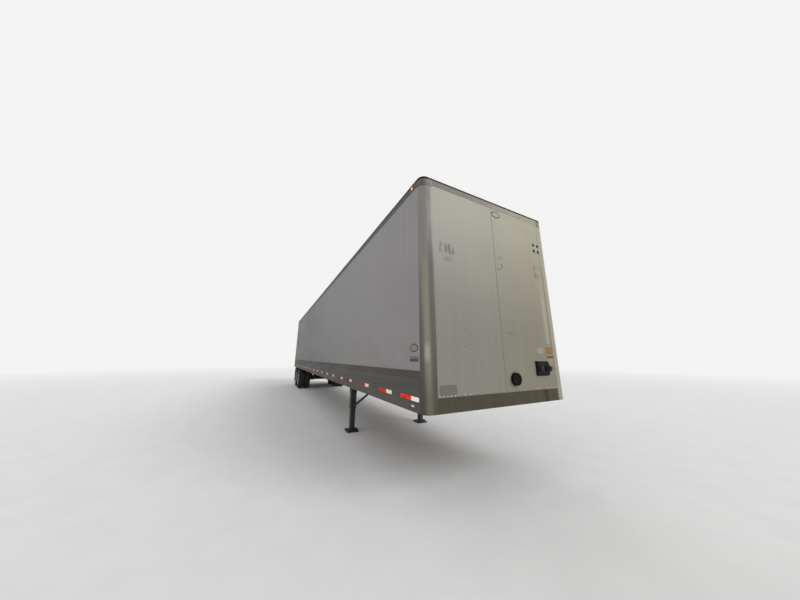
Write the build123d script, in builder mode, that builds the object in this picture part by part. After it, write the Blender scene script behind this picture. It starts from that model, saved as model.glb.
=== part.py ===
from build123d import *
import os
from math import ceil, hypot

# Semi trailer, a 53 ft dry van on a sliding tandem, parked on its landing legs.
# Millimetres. +X forward, +Y left, +Z up. The origin is on the ground, in the middle of the box.
# A station is a distance behind the nose face. Heights are above the ground.

os.makedirs("parts", exist_ok=True)

# Overall sizes
LENGTH = 16154.0  # nose face to the face of the dock bumpers, 53 ft
WIDTH = 2591.0  # 102 in
HEIGHT = 4115.0  # 13 ft 6 in
TYRE_RADIUS = 508.0
TYRE_HEADROOM = 54.0  # from the tyres' tops up to the body
FLOOR_RISE = 200.0  # floor boards' top above the rails' underside
NOSE_BOX_REACH = 85.0  # couplings ahead of the nose face
BUMPER_REACH = 75.0  # dock bumpers behind the rear frame

HALF = WIDTH / 2
NOSE_X = (LENGTH - NOSE_BOX_REACH) / 2
RAIL_UNDERSIDE = 2 * TYRE_RADIUS + TYRE_HEADROOM
FLOOR_TOP = RAIL_UNDERSIDE + FLOOR_RISE


def station(distance):
    """X of a point this far behind the nose face."""
    return NOSE_X - distance


# Walls and rails
TOUCH = 0.4  # running or seating gap between curved faces
SEAT_GAP = 0.5  # between the springs and what they bear on
WELD = 1.0  # how far the solids of one welded or cast piece run into each other
CLEAR = 1.0  # between pieces that stand side by side
SKIN = 5.5  # wall of the rail and post extrusions
RAIL_PROUD = 5.5  # rails and posts stand this far outside the side panels
PANEL_THICK = 13.0
PANEL_PITCH = 1219.0  # 48 in plates
PANEL_GAP = 2.0
PANEL_OUT = HALF - RAIL_PROUD
PANEL_IN = PANEL_OUT - PANEL_THICK
INNER_LEG = 5.0
LEDGE_WIDTH = 20.0
LEG_FACE = PANEL_IN - LEDGE_WIDTH  # inner face of the bottom rails
CREASE_RISE = 364.0
CREASE_SLOPE = 4.0
BAND_RISE = 465.0
BAND_THICK = 3.0
LEDGE_THICK = 8.0
LEDGE_RISE = 15.0
LEG_RISE = 30.0
LIP_WIDTH = 30.0
CREASE_Z = RAIL_UNDERSIDE + CREASE_RISE
BAND_TOP = RAIL_UNDERSIDE + BAND_RISE
LEDGE_TOP = FLOOR_TOP + LEDGE_RISE
LEG_BOTTOM = RAIL_UNDERSIDE + LEG_RISE

TOP_RAIL_DEPTH = 105.0
TRIM_DEPTH = 32.0
TRIM_THICK = 3.0
ROOF_THICK = 3.0
PANEL_SEAT = 30.0  # how far the top rails reach down over the panels
TOP_LEG_DROP = 20.0
TOP_RAIL_BOTTOM = HEIGHT - TOP_RAIL_DEPTH
TRIM_BOTTOM = HEIGHT - TRIM_DEPTH
ROOF_TOP = HEIGHT - TRIM_THICK
ROOF_UNDER = ROOF_TOP - ROOF_THICK
PANEL_TOP = TOP_RAIL_BOTTOM + PANEL_SEAT
TOP_LEG_BOTTOM = TOP_RAIL_BOTTOM - TOP_LEG_DROP
TOP_FLANGE = 60.0
TRIM_FLANGE = 43.0

POST_RADIUS = 100.0
POST_SIDE = 102.0
POST_FRONT = 173.0
POST_LEG = 48.0
CAP_PROUD = 1.5  # the top rails' corner caps outside the posts' faces
FRONT_RECESS = 4.0
FRONT_WALL = 45.0
FRONT_INNER = FRONT_RECESS + FRONT_WALL
FRONT_LEG = 5.5
SILL_DEPTH = 170.0
SILL_LEG = 60.0
SILL_TOP = RAIL_UNDERSIDE + SILL_DEPTH
SILL_LEG_TOP = SILL_TOP + SILL_LEG
POST_INNER = HALF - POST_FRONT
VENT_RADIUS = 27.5
VENT_PITCH = 108.0
VENT_INSET = 92.5  # middle of the four vents inboard of the post
VENT_DROP = 479.0  # and below the top rail
VENT_Y = POST_INNER - VENT_INSET
VENT_Z = TOP_RAIL_BOTTOM - VENT_DROP

# Rear frame
REAR_FACE = LENGTH - BUMPER_REACH
FRAME_DEPTH = 130.0
FRAME_FRONT = REAR_FACE - FRAME_DEPTH
FRAME_PLATE = 8.0
FRAME_WALL = 6.0
POST_WIDTH = 100.0
FRAME_RISE = 15.0
HEADER_DEPTH = 130.0
FRAME_BOTTOM = RAIL_UNDERSIDE + FRAME_RISE
HEADER_BOTTOM = HEIGHT - HEADER_DEPTH
OPENING_HALF = HALF - POST_WIDTH
DOOR_THICK = 38.0
DOOR_GAP = 6.0
DOOR_END_GAP = 8.0
DOOR_MEETING_GAP = 10.0
DOOR_BOTTOM = FLOOR_TOP + DOOR_END_GAP
DOOR_TOP = HEADER_BOTTOM - DOOR_END_GAP
DOOR_EDGE = OPENING_HALF - DOOR_GAP

# Door hinges, five to a door
HINGE_INSET = 14.0  # pin axis inside the side face
HINGE_STAND = 36.0  # pin axis behind the rear face
PIN_RADIUS = 8.0
KNUCKLE_RADIUS = 14.0
KNUCKLE_HALF = 22.0
EAR_HALF = 40.0
STRAP_THICK = 8.0
STRAP_REACH = 320.0
STRAP_CLEAR = 6.0  # strap above the post's face
STRAP_LEVEL = 34.0  # inboard of the pin, where the strap runs level
STRAP_SLOPE = 5.0
STRAP_EASE = 4.0  # the bends' inner and outer corners, along the strap
DOOR_SEAT = 98.0  # inboard of the pin, where the strap comes down on the door
BUTT_THICK = 6.0
BUTT_REACH = 30.0
BUTT_INSET = 2.0  # butts inside the side face
HINGE_Y = HALF - HINGE_INSET
HINGE_COUNT = 5
HINGE_END = 175.0  # end hinges inside the opening's height
HINGE_FIRST = FLOOR_TOP + HINGE_END
HINGE_LAST = HEADER_BOTTOM - HINGE_END

# Lock rods, two to a door
ROD_RADIUS = 13.5
ROD_STAND = 30.0  # rod axis behind the door face
ROD_SET = 31.5  # outer rod inboard of the hinge straps' ends
INNER_ROD_Y = 260.0
ROD_PLACES = (HINGE_Y - STRAP_REACH - ROD_SET, INNER_ROD_Y)
CAM_HALF = 20.0
CAM_HEIGHT = 26.0
CAM_REACH = 50.0
CAM_CLEAR = 5.0
KEEPER_WALL = 6.0
KEEPER_GAP = 6.0
KEEPER_HALF_HEIGHT = 22.0
KEEPER_SET = 45.0  # keepers' middles beyond the opening
SILL_KEEPER_Z = FLOOR_TOP - KEEPER_SET
HEADER_KEEPER_Z = HEADER_BOTTOM + KEEPER_SET
GUIDE_HEIGHT = 40.0
GUIDE_WIDTH = 44.0
GUIDE_REACH = 48.0
GUIDE_END = 180.0
GUIDE_RAISE = 160.0  # middle guide above the door's middle
HANDLE_LENGTH = 400.0
HANDLE_WIDTH = 30.0
HANDLE_THICK = 12.0
LOW_HANDLE = 290.0  # handles above the floor
HIGH_HANDLE = 430.0

# Floor and crossmembers
FLOOR_THICK = 35.0
BOARD_COUNT = 8
BOARD_GAP = 1.0
BEAM_TOP = FLOOR_TOP - FLOOR_THICK
BEAM_DEPTH = 102.0
BEAM_BOTTOM = BEAM_TOP - BEAM_DEPTH
BEAM_FLANGE = 57.0
BEAM_WEB = 6.0
BEAM_FLANGE_THICK = 7.0
BEAM_PITCH = 305.0
BEAM_START = 175.0  # first beam behind the upper coupler
BOW_DEPTH = 40.0
BOW_PITCH = 610.0
BOW_FIRST = 400.0
BOW_CROWN = 40.0
BOW_FOOT = 25.0
BOW_THICK = 3.0

# Upper coupler and kingpin
COUPLER_PLATE = 8.0
COUPLER_REAR = 1560.0
COUPLER_INSET = 27.0
COUPLER_HALF = LEG_FACE - COUPLER_INSET
COUPLER_WEB = 8.0
COUPLER_FLANGE = 50.0
COUPLER_RIBS = (160.0, 405.0, 660.0, 1168.0, 1364.0, COUPLER_REAR - COUPLER_WEB)
STRINGER_Y = 300.0
BEAM_FIRST = COUPLER_REAR + BEAM_START
KINGPIN_STATION = 914.0  # 36 in setback
PIN_FLANGE_RADIUS = 110.0
PIN_FLANGE_THICK = 12.0
PIN_SHOULDER_RADIUS = 36.5
PIN_NECK_RADIUS = 25.4
PIN_FOOT_RADIUS = 35.7
PIN_SHOULDER = 14.0
PIN_NECK = 35.0
PIN_FOOT = 35.0
PIN_BEVEL = 5.0

# Landing gear
LEG_STATION = 3720.0
LEG_INSET = 345.5
LEG_Y = HALF - LEG_INSET
LEG_TUBE = 130.0
LEG_CORNER = 8.0
LEG_INNER = 105.0
LEG_TUBE_BOTTOM = 500.0
FOOT_HEIGHT = 52.0
FOOT_LENGTH = 300.0
FOOT_WIDTH = 260.0
FOOT_PLATE = 14.0
FOOT_TURN = 30.0  # its turned-up ends, along and up
FOOT_TIP = 10.0
WING_WIDTH = 320.0
WING_DEPTH = 313.0
WING_BOTTOM = BEAM_BOTTOM - WING_DEPTH
WING_THICK = 10.0
SHAFT_DROP = 133.0
SHAFT_Z = BEAM_BOTTOM - SHAFT_DROP
SHAFT_RADIUS = 19.0
BRACE_WIDTH = 50.0
BRACE_THICK = 10.0
BRACE_RISE = 70.0
BRACE_LOW = LEG_TUBE_BOTTOM + BRACE_RISE
BRACE_RUN = 760.0
BRACE_INNER_Y = 120.0
BRACE_LAP = 20.0  # over the leg's tube, and past the crossmembers' undersides before they are cut
BRACE_SIDE_LAP = 40.0
GEARBOX_DEPTH = 90.0
GEARBOX_WIDTH = 150.0
GEARBOX_HEIGHT = 210.0
GEARBOX_CORNER = 30.0
CRANK_RADIUS = 11.0
CRANK_SET = 60.0
CRANK_DROP = 330.0
CRANK_GRIP = 90.0
CRANK_BEND = 25.0

# Sliding tandem
TYRE_WIDTH = 280.0
TREAD_WIDTH = 232.0
SHOULDER = 38.0  # height of the bevel between tread and sidewall
DUAL_SPACING = 330.0
SEAT_RADIUS = 285.0
OUTER_TYRE_Y = HALF - TYRE_WIDTH / 2
DUAL_Y = OUTER_TYRE_Y - DUAL_SPACING / 2
INNER_TYRE_Y = OUTER_TYRE_Y - DUAL_SPACING
AXLE_RADIUS = 63.5
SPINDLE_RADIUS = 44.5
SPINDLE_INSET = 278.5  # spindle's root inboard of the wheels' middle
SPINDLE_REACH = 129.5
SPINDLE_START = DUAL_Y - SPINDLE_INSET
SPINDLE_END = DUAL_Y + SPINDLE_REACH
SHIELD_RADIUS = 190.0
SHIELD_THICK = 8.0
DRUM_RADIUS = 222.0
DRUM_WALL = 16.0
DRUM_DEPTH = 54.0
DRUM_GAP = 6.0
HUB_RADIUS = 105.0
HUB_REACH = 174.5
HUB_END = DUAL_Y + HUB_REACH
CAP_WALL = 41.0
DISC_RADIUS = 160.0
DISC_SET = 8.0
DISC_DISH = 32.0
WALL_RADIUS = 258.0
RIM_WIDTH = 234.0

SLIDE_INSET = 155.5  # slide rails inboard of the inner tyres
SLIDE_Y = INNER_TYRE_Y - TYRE_WIDTH / 2 - SLIDE_INSET
BOGIE_RAIL_WIDTH = 100.0
BOGIE_RAIL_DEPTH = 150.0
BOGIE_RAIL_WALL = 9.0
BOGIE_LENGTH = 2850.0
BOGIE_SET = 692.0  # tandem's place ahead of the slide rails' rear end
SLIDE_GAP = 0.5
SLIDE_SIDE_GAP = 5.0
SLIDE_FLANGE = 8.0
SLIDE_WEB = 70.0
SLIDE_LENGTH = 5992.0
SLIDE_END_GAP = 7.0
SLIDE_WEB_BOTTOM = BEAM_BOTTOM - SLIDE_WEB
SLIDE_REAR = FRAME_FRONT - SLIDE_END_GAP
SLIDE_FRONT = SLIDE_REAR - SLIDE_LENGTH
BOGIE_REAR = SLIDE_REAR - BOGIE_SET
BOGIE_FRONT = BOGIE_REAR - BOGIE_LENGTH
AXLE_SPACING = 1250.0
AXLE_SET = 850.0  # rear axle ahead of the tandem frame's end
REAR_AXLE = BOGIE_REAR - AXLE_SET
FRONT_AXLE = REAR_AXLE - AXLE_SPACING
AXLE_STATIONS = (FRONT_AXLE, REAR_AXLE)
STOP_THICK = 12.0
SPRING_WIDTH = 75.0
SPRING_CENTRE_THICK = 50.0
SPRING_END_THICK = 14.0
SPRING_END_GAP = 50.0
SPRING_CAMBER = 145.0
SPRING_HALF = (AXLE_SPACING - SPRING_END_GAP) / 2
SEAT_RISE = 92.0
SEAT_LENGTH = 120.0
SEAT_BORDER = 10.0
SEAT_TOP = TYRE_RADIUS + SEAT_RISE
SPRING_END_TOP = SEAT_TOP + SPRING_CAMBER
HANGER_REACH = 20.0  # end hangers beyond the springs' ends
HANGER_STATIONS = (
    FRONT_AXLE - SPRING_HALF - HANGER_REACH,
    (FRONT_AXLE + REAR_AXLE) / 2,
    REAR_AXLE + SPRING_HALF + HANGER_REACH,
)
HANGER_TOP_WIDTH = 220.0
HANGER_BOTTOM_WIDTH = 130.0
HANGER_DROP = 125.0
HANGER_BOTTOM = SPRING_END_TOP - HANGER_DROP
CHEEK_THICK = 8.0
PAD_HEIGHT = 20.0
EQUALIZER_REACH = 118.0
EQUALIZER_DEPTH = 88.0
EQUALIZER_TIP = 16.0
EQUALIZER_ARCH = 18.0  # between the two springs' ends
PIVOT_RISE = 52.0
PIVOT_RADIUS = 20.0
PIVOT_END = 12.0
ROD_EYE_RADIUS = 30.0
ROD_EYE_RISE = 48.0
ROD_EYE_Z = HANGER_BOTTOM + ROD_EYE_RISE
ROD_BAR = 40.0
ROD_ROOT = 10.0  # its seat inside the axle tube's front, before the tube's room is cut
ROD_ROOT_RISE = 20.0
TUBE_RISE = 25.0
TUBE_HEIGHT = 100.0
TUBE_WIDTH = 80.0
TANK_RADIUS = 110.0
TANK_HALF = 420.0
TANK_DISH = 45.0
TANK_DOME = 30.0
CHAMBER_RADIUS = 88.0
CHAMBER_LENGTH = 205.0
CLAMP_RADIUS = 100.0
CLAMP_WIDTH = 16.0
CLAMP_PLACE = 60.0
CHAMBER_INSET = 200.0
CHAMBER_RISE = 92.0
CHAMBER_BACK = 160.0
CHAMBER_Y = SLIDE_Y - CHAMBER_INSET
CHAMBER_Z = TYRE_RADIUS + CHAMBER_RISE
BRACKET_HALF = 80.0
BRACKET_ROOT = 30.0
BRACKET_THICK = 10.0
BRACKET_SPREAD = 40.0  # its two arms either side of the chamber's axis
MOUNT_WIDTH = 150.0
MOUNT_THICK = 12.0
PUSHROD_RADIUS = 9.0
PUSHROD_REACH = 60.0
ADJUSTER_LENGTH = 140.0  # slack adjuster, from the pushrod down to the camshaft
ADJUSTER_WIDTH = 44.0
ADJUSTER_THICK = 26.0
ADJUSTER_TOP = 20.0  # above the pushrod
ADJUSTER_BOSS = 31.0
CAMSHAFT_RADIUS = 19.0
FLAP_BAR = 50.0
FLAP_BAR_RISE = 10.0
FLAP_INSET = 5.0
FLAP_THICK = 8.0
FLAP_WIDTH = 600.0
FLAP_BOTTOM = 230.0

# Small outside pieces
GUARD_SET = 69.0  # guard's middle ahead of the rear face
GUARD_STATION = REAR_FACE - GUARD_SET
GUARD_BAR = 100.0
GUARD_BAR_TOP = 520.0
GUARD_INSET = 95.5
GUARD_HALF = HALF - GUARD_INSET
GUARD_POST_SET = 10.0
GUARD_POST_Y = SLIDE_Y - GUARD_POST_SET
GUARD_POST = 90.0
GUARD_GUSSET = 180.0  # plates beside each post, wide under the sill and narrow at the bar
GUARD_GUSSET_LOW = 30.0
GUARD_GUSSET_THICK = 8.0
BUMPER_INSET = 145.5
BUMPER_RISE = 85.0
BUMPER_Y = HALF - BUMPER_INSET
BUMPER_WIDTH = 200.0
BUMPER_HEIGHT = 145.0
BUMPER_CORNER = 12.0
BUMPER_Z = FRAME_BOTTOM + BUMPER_RISE
NOSE_BOX_INSET = 312.5  # nose box's middle inboard of the post
NOSE_BOX_Y = POST_INNER - NOSE_BOX_INSET
NOSE_BOX_RISE = 465.0
NOSE_BOX_Z = RAIL_UNDERSIDE + NOSE_BOX_RISE
NOSE_BOX_WIDTH = 310.0
NOSE_BOX_HEIGHT = 210.0
NOSE_BOX_DEPTH = 26.0
NOSE_BOX_CORNER = 20.0
COUPLING_SPREAD = 98.0
COUPLING_WIDTH = 46.0
COUPLING_HEIGHT = 84.0
COUPLING_CORNER = 22.0
SOCKET_RADIUS = 32.0
HOLDER_Y = 190.0
HOLDER_RISE = 334.0
HOLDER_Z = RAIL_UNDERSIDE + HOLDER_RISE
HOLDER_RADIUS = 88.0
HOLDER_REACH = 45.0
HOLDER_BEVEL = 8.0
LAMP_DEPTH = 14.0
SIDE_LAMP_CORNER = 10.0
REAR_LAMP_CORNER = 16.0
STOP_LAMP_RADIUS = 52.5
STOP_LAMP_PLACES = (560.0, 700.0)
TOP_LAMP_STATION = 222.0
LOW_LAMP_STATION = 252.0
LOW_LAMP_RISE = 66.0
REAR_LAMP_DROP = 45.0
REAR_LAMP_INSET = 75.5
STOP_LAMP_RISE = 65.0
MID_LAMP_SHIFT = 92.0  # middle side lamp ahead of the middle
MID_LAMP_INSET = 25.0
MID_LAMP_LENGTH = 110.0
MID_LAMP_DROP = 66.0
MID_LAMP_DEPTH = 22.0

SIDES = (("left", 1), ("right", -1))


# Bottom rails: one extrusion a side, with the floor ledge, the crease and the thin upper band
bottom_profile = (
    # distance from the centre line, height
    (HALF, RAIL_UNDERSIDE),
    (HALF, CREASE_Z - CREASE_SLOPE),
    (PANEL_OUT + BAND_THICK, CREASE_Z),
    (PANEL_OUT + BAND_THICK, BAND_TOP),
    (PANEL_OUT, BAND_TOP),
    (PANEL_OUT, LEDGE_TOP),
    (LEG_FACE, LEDGE_TOP),
    (LEG_FACE, LEG_BOTTOM),
    (LEG_FACE + INNER_LEG, LEG_BOTTOM),
    (LEG_FACE + INNER_LEG, LEDGE_TOP - LEDGE_THICK),
    (PANEL_OUT, LEDGE_TOP - LEDGE_THICK),
    (PANEL_OUT, RAIL_UNDERSIDE + LEDGE_THICK),
    (HALF - LIP_WIDTH, RAIL_UNDERSIDE + LEDGE_THICK),
    (HALF - LIP_WIDTH, RAIL_UNDERSIDE),
)
rail_run = FRAME_FRONT - POST_SIDE
with BuildPart() as bottom_rails:
    for side_name, side in SIDES:
        with BuildSketch(Plane.YZ.offset(station(FRAME_FRONT))):
            with BuildLine():
                Polyline([(side * y, z) for y, z in bottom_profile], close=True)
            make_face()
        extrude(amount=rail_run)
bottom_rails.part.label = "bottom_rails"
export_step(bottom_rails.part, "parts/bottom_rails.step")

# Top rails: they cap the side panels and carry the roof sheet
top_profile = (
    # distance from the centre line, height
    (HALF, TOP_RAIL_BOTTOM),
    (HALF, TRIM_BOTTOM),
    (HALF - TRIM_THICK, TRIM_BOTTOM),
    (HALF - TRIM_THICK, ROOF_UNDER),
    (HALF - TRIM_THICK - TOP_FLANGE, ROOF_UNDER),
    (HALF - TRIM_THICK - TOP_FLANGE, ROOF_UNDER - SKIN),
    (HALF - TRIM_THICK - SKIN, ROOF_UNDER - SKIN),
    (HALF - TRIM_THICK - SKIN, PANEL_TOP + SKIN),
    (PANEL_IN - SKIN, PANEL_TOP + SKIN),
    (PANEL_IN - SKIN, TOP_LEG_BOTTOM),
    (PANEL_IN, TOP_LEG_BOTTOM),
    (PANEL_IN, PANEL_TOP),
    (PANEL_OUT, PANEL_TOP),
    (PANEL_OUT, TOP_RAIL_BOTTOM),
)
with BuildPart() as top_rails:
    for side_name, side in SIDES:
        with BuildSketch(Plane.YZ.offset(station(FRAME_FRONT))):
            with BuildLine():
                Polyline([(side * y, z) for y, z in top_profile], close=True)
            make_face()
        extrude(amount=rail_run)
top_rails.part.label = "top_rails"
export_step(top_rails.part, "parts/top_rails.step")

# Side panels: plates side by side, with a narrow joint between them
panel_count = ceil(rail_run / PANEL_PITCH)
panel_length = (rail_run - (panel_count - 1) * PANEL_GAP) / panel_count
panel_step = panel_length + PANEL_GAP
panel_mid_x = station(POST_SIDE + rail_run / 2)
for side_name, side in SIDES:
    with BuildPart(Plane.XY.offset(LEDGE_TOP)) as side_panels:
        with Locations((panel_mid_x, side * (PANEL_OUT + PANEL_IN) / 2)):
            with GridLocations(panel_step, 1, panel_count, 1):
                Box(
                    panel_length,
                    PANEL_THICK,
                    PANEL_TOP - LEDGE_TOP,
                    align=(Align.CENTER, Align.CENTER, Align.MIN),
                )
    side_panels.part.label = f"side_panels_{side_name}"
    export_step(side_panels.part, f"parts/side_panels_{side_name}.step")

# Joint strips: one behind each joint between two side panels
STRIP_WIDTH = 76.0
STRIP_THICK = 4.0
with BuildPart(Plane.XY.offset(LEDGE_TOP)) as wall_joint_strips:
    for side_name, side in SIDES:
        with Locations((panel_mid_x, side * (PANEL_IN - STRIP_THICK / 2))):
            with GridLocations(panel_step, 1, panel_count - 1, 1):
                Box(
                    STRIP_WIDTH,
                    STRIP_THICK,
                    TOP_LEG_BOTTOM - LEDGE_TOP,
                    align=(Align.CENTER, Align.CENTER, Align.MIN),
                )
wall_joint_strips.part.label = "wall_joint_strips"
export_step(wall_joint_strips.part, "parts/wall_joint_strips.step")

# Front corner posts: hollow rounded extrusions under the caps that turn the top rails' corners,
# with a leg behind each wall they carry
post_steps = (
    # inset of the outer faces, height of the step's underside, height of its top
    (CAP_PROUD, RAIL_UNDERSIDE, TOP_RAIL_BOTTOM),
    (0, TOP_RAIL_BOTTOM, TRIM_BOTTOM),
    (TRIM_THICK, TRIM_BOTTOM, ROOF_UNDER),
)
with BuildPart() as front_posts:
    for inset, low, high in post_steps:
        with BuildSketch(Plane.XY.offset(low)) as post_section:
            with Locations((station(POST_SIDE), POST_INNER)):
                Rectangle(POST_SIDE - inset, POST_FRONT - inset, align=(Align.MIN, Align.MIN))
            outer = post_section.vertices().sort_by(Axis.X)[-2:].sort_by(Axis.Y)[-1]
            fillet(outer, POST_RADIUS - inset)
            offset(amount=-(SKIN - inset), mode=Mode.SUBTRACT)
        extrude(amount=high - low)
    with BuildSketch(Plane.XY.offset(LEDGE_TOP)):
        with Locations((station(POST_SIDE + POST_LEG), PANEL_IN - SKIN)):
            Rectangle(POST_LEG + WELD, SKIN, align=(Align.MIN, Align.MIN))
    extrude(amount=TOP_LEG_BOTTOM - LEDGE_TOP)
    with BuildSketch(Plane.XY.offset(SILL_LEG_TOP)):
        with Locations((station(FRONT_INNER + FRONT_LEG), POST_INNER - POST_LEG)):
            Rectangle(FRONT_LEG, POST_LEG + WELD, align=(Align.MIN, Align.MIN))
    extrude(amount=TOP_LEG_BOTTOM - SILL_LEG_TOP)
    mirror(about=Plane.XZ)
front_posts.part.label = "front_posts"
export_step(front_posts.part, "parts/front_posts.step")

# Front bottom rail and front top rail, between the posts
front_sill_profile = (
    # station, height
    (0, RAIL_UNDERSIDE),
    (0, SILL_TOP),
    (FRONT_INNER, SILL_TOP),
    (FRONT_INNER, SILL_LEG_TOP),
    (FRONT_INNER + FRONT_LEG, SILL_LEG_TOP),
    (FRONT_INNER + FRONT_LEG, SILL_TOP - LEDGE_THICK),
    (SKIN, SILL_TOP - LEDGE_THICK),
    (SKIN, RAIL_UNDERSIDE + LEDGE_THICK),
    (FRONT_INNER + FRONT_LEG, RAIL_UNDERSIDE + LEDGE_THICK),
    (FRONT_INNER + FRONT_LEG, RAIL_UNDERSIDE),
)
with BuildPart() as front_bottom_rail:
    with BuildSketch(Plane.XZ):
        with BuildLine():
            Polyline([(station(s), z) for s, z in front_sill_profile], close=True)
        make_face()
    extrude(amount=POST_INNER, both=True)
front_bottom_rail.part.label = "front_bottom_rail"
export_step(front_bottom_rail.part, "parts/front_bottom_rail.step")

front_top_profile = (
    # station, height
    (0, TOP_RAIL_BOTTOM),
    (0, TRIM_BOTTOM),
    (TRIM_THICK, TRIM_BOTTOM),
    (TRIM_THICK, ROOF_UNDER),
    (TOP_FLANGE, ROOF_UNDER),
    (TOP_FLANGE, ROOF_UNDER - SKIN),
    (TRIM_THICK + SKIN, ROOF_UNDER - SKIN),
    (TRIM_THICK + SKIN, PANEL_TOP + SKIN),
    (FRONT_INNER + FRONT_LEG, PANEL_TOP + SKIN),
    (FRONT_INNER + FRONT_LEG, TOP_LEG_BOTTOM),
    (FRONT_INNER, TOP_LEG_BOTTOM),
    (FRONT_INNER, PANEL_TOP),
    (FRONT_RECESS, PANEL_TOP),
    (FRONT_RECESS, TOP_RAIL_BOTTOM),
)
with BuildPart() as front_top_rail:
    with BuildSketch(Plane.XZ):
        with BuildLine():
            Polyline([(station(s), z) for s, z in front_top_profile], close=True)
        make_face()
    extrude(amount=POST_INNER, both=True)
front_top_rail.part.label = "front_top_rail"
export_step(front_top_rail.part, "parts/front_top_rail.step")

# Front wall: two panels that meet on the centre line, the left one with four vent holes
for side_name, side in SIDES:
    with BuildPart(Plane.XY.offset(SILL_TOP)) as front_wall:
        with Locations((station(FRONT_RECESS + FRONT_WALL / 2), side * (POST_INNER + PANEL_GAP / 2) / 2)):
            Box(
                FRONT_WALL,
                POST_INNER - PANEL_GAP / 2,
                PANEL_TOP - SILL_TOP,
                align=(Align.CENTER, Align.CENTER, Align.MIN),
            )
        if side > 0:
            with BuildSketch(Plane.YZ.offset(station(FRONT_RECESS))):
                with Locations((VENT_Y, VENT_Z)):
                    with GridLocations(VENT_PITCH, VENT_PITCH, 2, 2):
                        Circle(VENT_RADIUS)
            extrude(amount=-FRONT_WALL, mode=Mode.SUBTRACT)
    front_wall.part.label = f"front_wall_{side_name}"
    export_step(front_wall.part, f"parts/front_wall_{side_name}.step")

# Roof sheet, and the dark trim folded over its edge
with BuildPart() as roof_sheet:
    with BuildSketch(Plane.XY.offset(ROOF_UNDER)) as roof_outline:
        with Locations((station(FRAME_FRONT), 0)):
            Rectangle(FRAME_FRONT - TRIM_THICK, WIDTH - 2 * TRIM_THICK, align=(Align.MIN, Align.CENTER))
        fillet(roof_outline.vertices().group_by(Axis.X)[-1], POST_RADIUS - TRIM_THICK)
    extrude(amount=ROOF_THICK)
roof_sheet.part.label = "roof_sheet"
export_step(roof_sheet.part, "parts/roof_sheet.step")

with BuildPart() as roof_edge_trim:
    for inner, low, high in ((TRIM_THICK, TRIM_BOTTOM, ROOF_TOP), (TRIM_FLANGE, ROOF_TOP, HEIGHT)):
        with BuildSketch(Plane.XY.offset(low)):
            with BuildSketch() as trim_outer:
                with Locations((station(FRAME_FRONT), 0)):
                    Rectangle(FRAME_FRONT, WIDTH, align=(Align.MIN, Align.CENTER))
                fillet(trim_outer.vertices().group_by(Axis.X)[-1], POST_RADIUS)
            with BuildSketch(mode=Mode.SUBTRACT) as trim_inner:
                with Locations((station(FRAME_FRONT), 0)):
                    Rectangle(FRAME_FRONT - inner, WIDTH - 2 * inner, align=(Align.MIN, Align.CENTER))
                fillet(trim_inner.vertices().group_by(Axis.X)[-1], POST_RADIUS - inner)
        extrude(amount=high - low)
roof_edge_trim.part.label = "roof_edge_trim"
export_step(roof_edge_trim.part, "parts/roof_edge_trim.step")

# Roof bows: hat sections across the roof, under the sheet
bow_half = HALF - TRIM_THICK - TOP_FLANGE
bow_low = ROOF_UNDER - BOW_DEPTH
bow_profile = (
    # distance from the bow's middle, height
    (-BOW_CROWN / 2, bow_low),
    (BOW_CROWN / 2, bow_low),
    (BOW_CROWN / 2, ROOF_UNDER - BOW_THICK),
    (BOW_CROWN / 2 + BOW_FOOT, ROOF_UNDER - BOW_THICK),
    (BOW_CROWN / 2 + BOW_FOOT, ROOF_UNDER),
    (BOW_CROWN / 2 - BOW_THICK, ROOF_UNDER),
    (BOW_CROWN / 2 - BOW_THICK, bow_low + BOW_THICK),
    (BOW_THICK - BOW_CROWN / 2, bow_low + BOW_THICK),
    (BOW_THICK - BOW_CROWN / 2, ROOF_UNDER),
    (-BOW_CROWN / 2 - BOW_FOOT, ROOF_UNDER),
    (-BOW_CROWN / 2 - BOW_FOOT, ROOF_UNDER - BOW_THICK),
    (-BOW_CROWN / 2, ROOF_UNDER - BOW_THICK),
)
bow_count = int((FRAME_FRONT - BOW_FIRST) / BOW_PITCH) + 1
with BuildPart() as roof_bows:
    for number in range(bow_count):
        bow_x = station(BOW_FIRST + number * BOW_PITCH)
        with BuildSketch(Plane.XZ):
            with BuildLine():
                Polyline([(bow_x + x, z) for x, z in bow_profile], close=True)
            make_face()
    extrude(amount=bow_half, both=True)
roof_bows.part.label = "roof_bows"
export_step(roof_bows.part, "parts/roof_bows.step")

# Floor boards, laid lengthwise; the outer ones start behind the corner posts
board_width = (2 * LEG_FACE - (BOARD_COUNT - 1) * BOARD_GAP) / BOARD_COUNT
with BuildPart(Plane.XY.offset(BEAM_TOP)) as floor_boards:
    for number in range(BOARD_COUNT):
        board_low = -LEG_FACE + number * (board_width + BOARD_GAP)
        board_reach = max(abs(board_low), abs(board_low + board_width))
        board_start = POST_SIDE + CLEAR if board_reach > POST_INNER else FRONT_INNER + FRONT_LEG
        with Locations((station(FRAME_FRONT), board_low)):
            Box(
                FRAME_FRONT - board_start,
                board_width,
                FLOOR_THICK,
                align=(Align.MIN, Align.MIN, Align.MIN),
            )
floor_boards.part.label = "floor_boards"
export_step(floor_boards.part, "parts/floor_boards.step")

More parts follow.
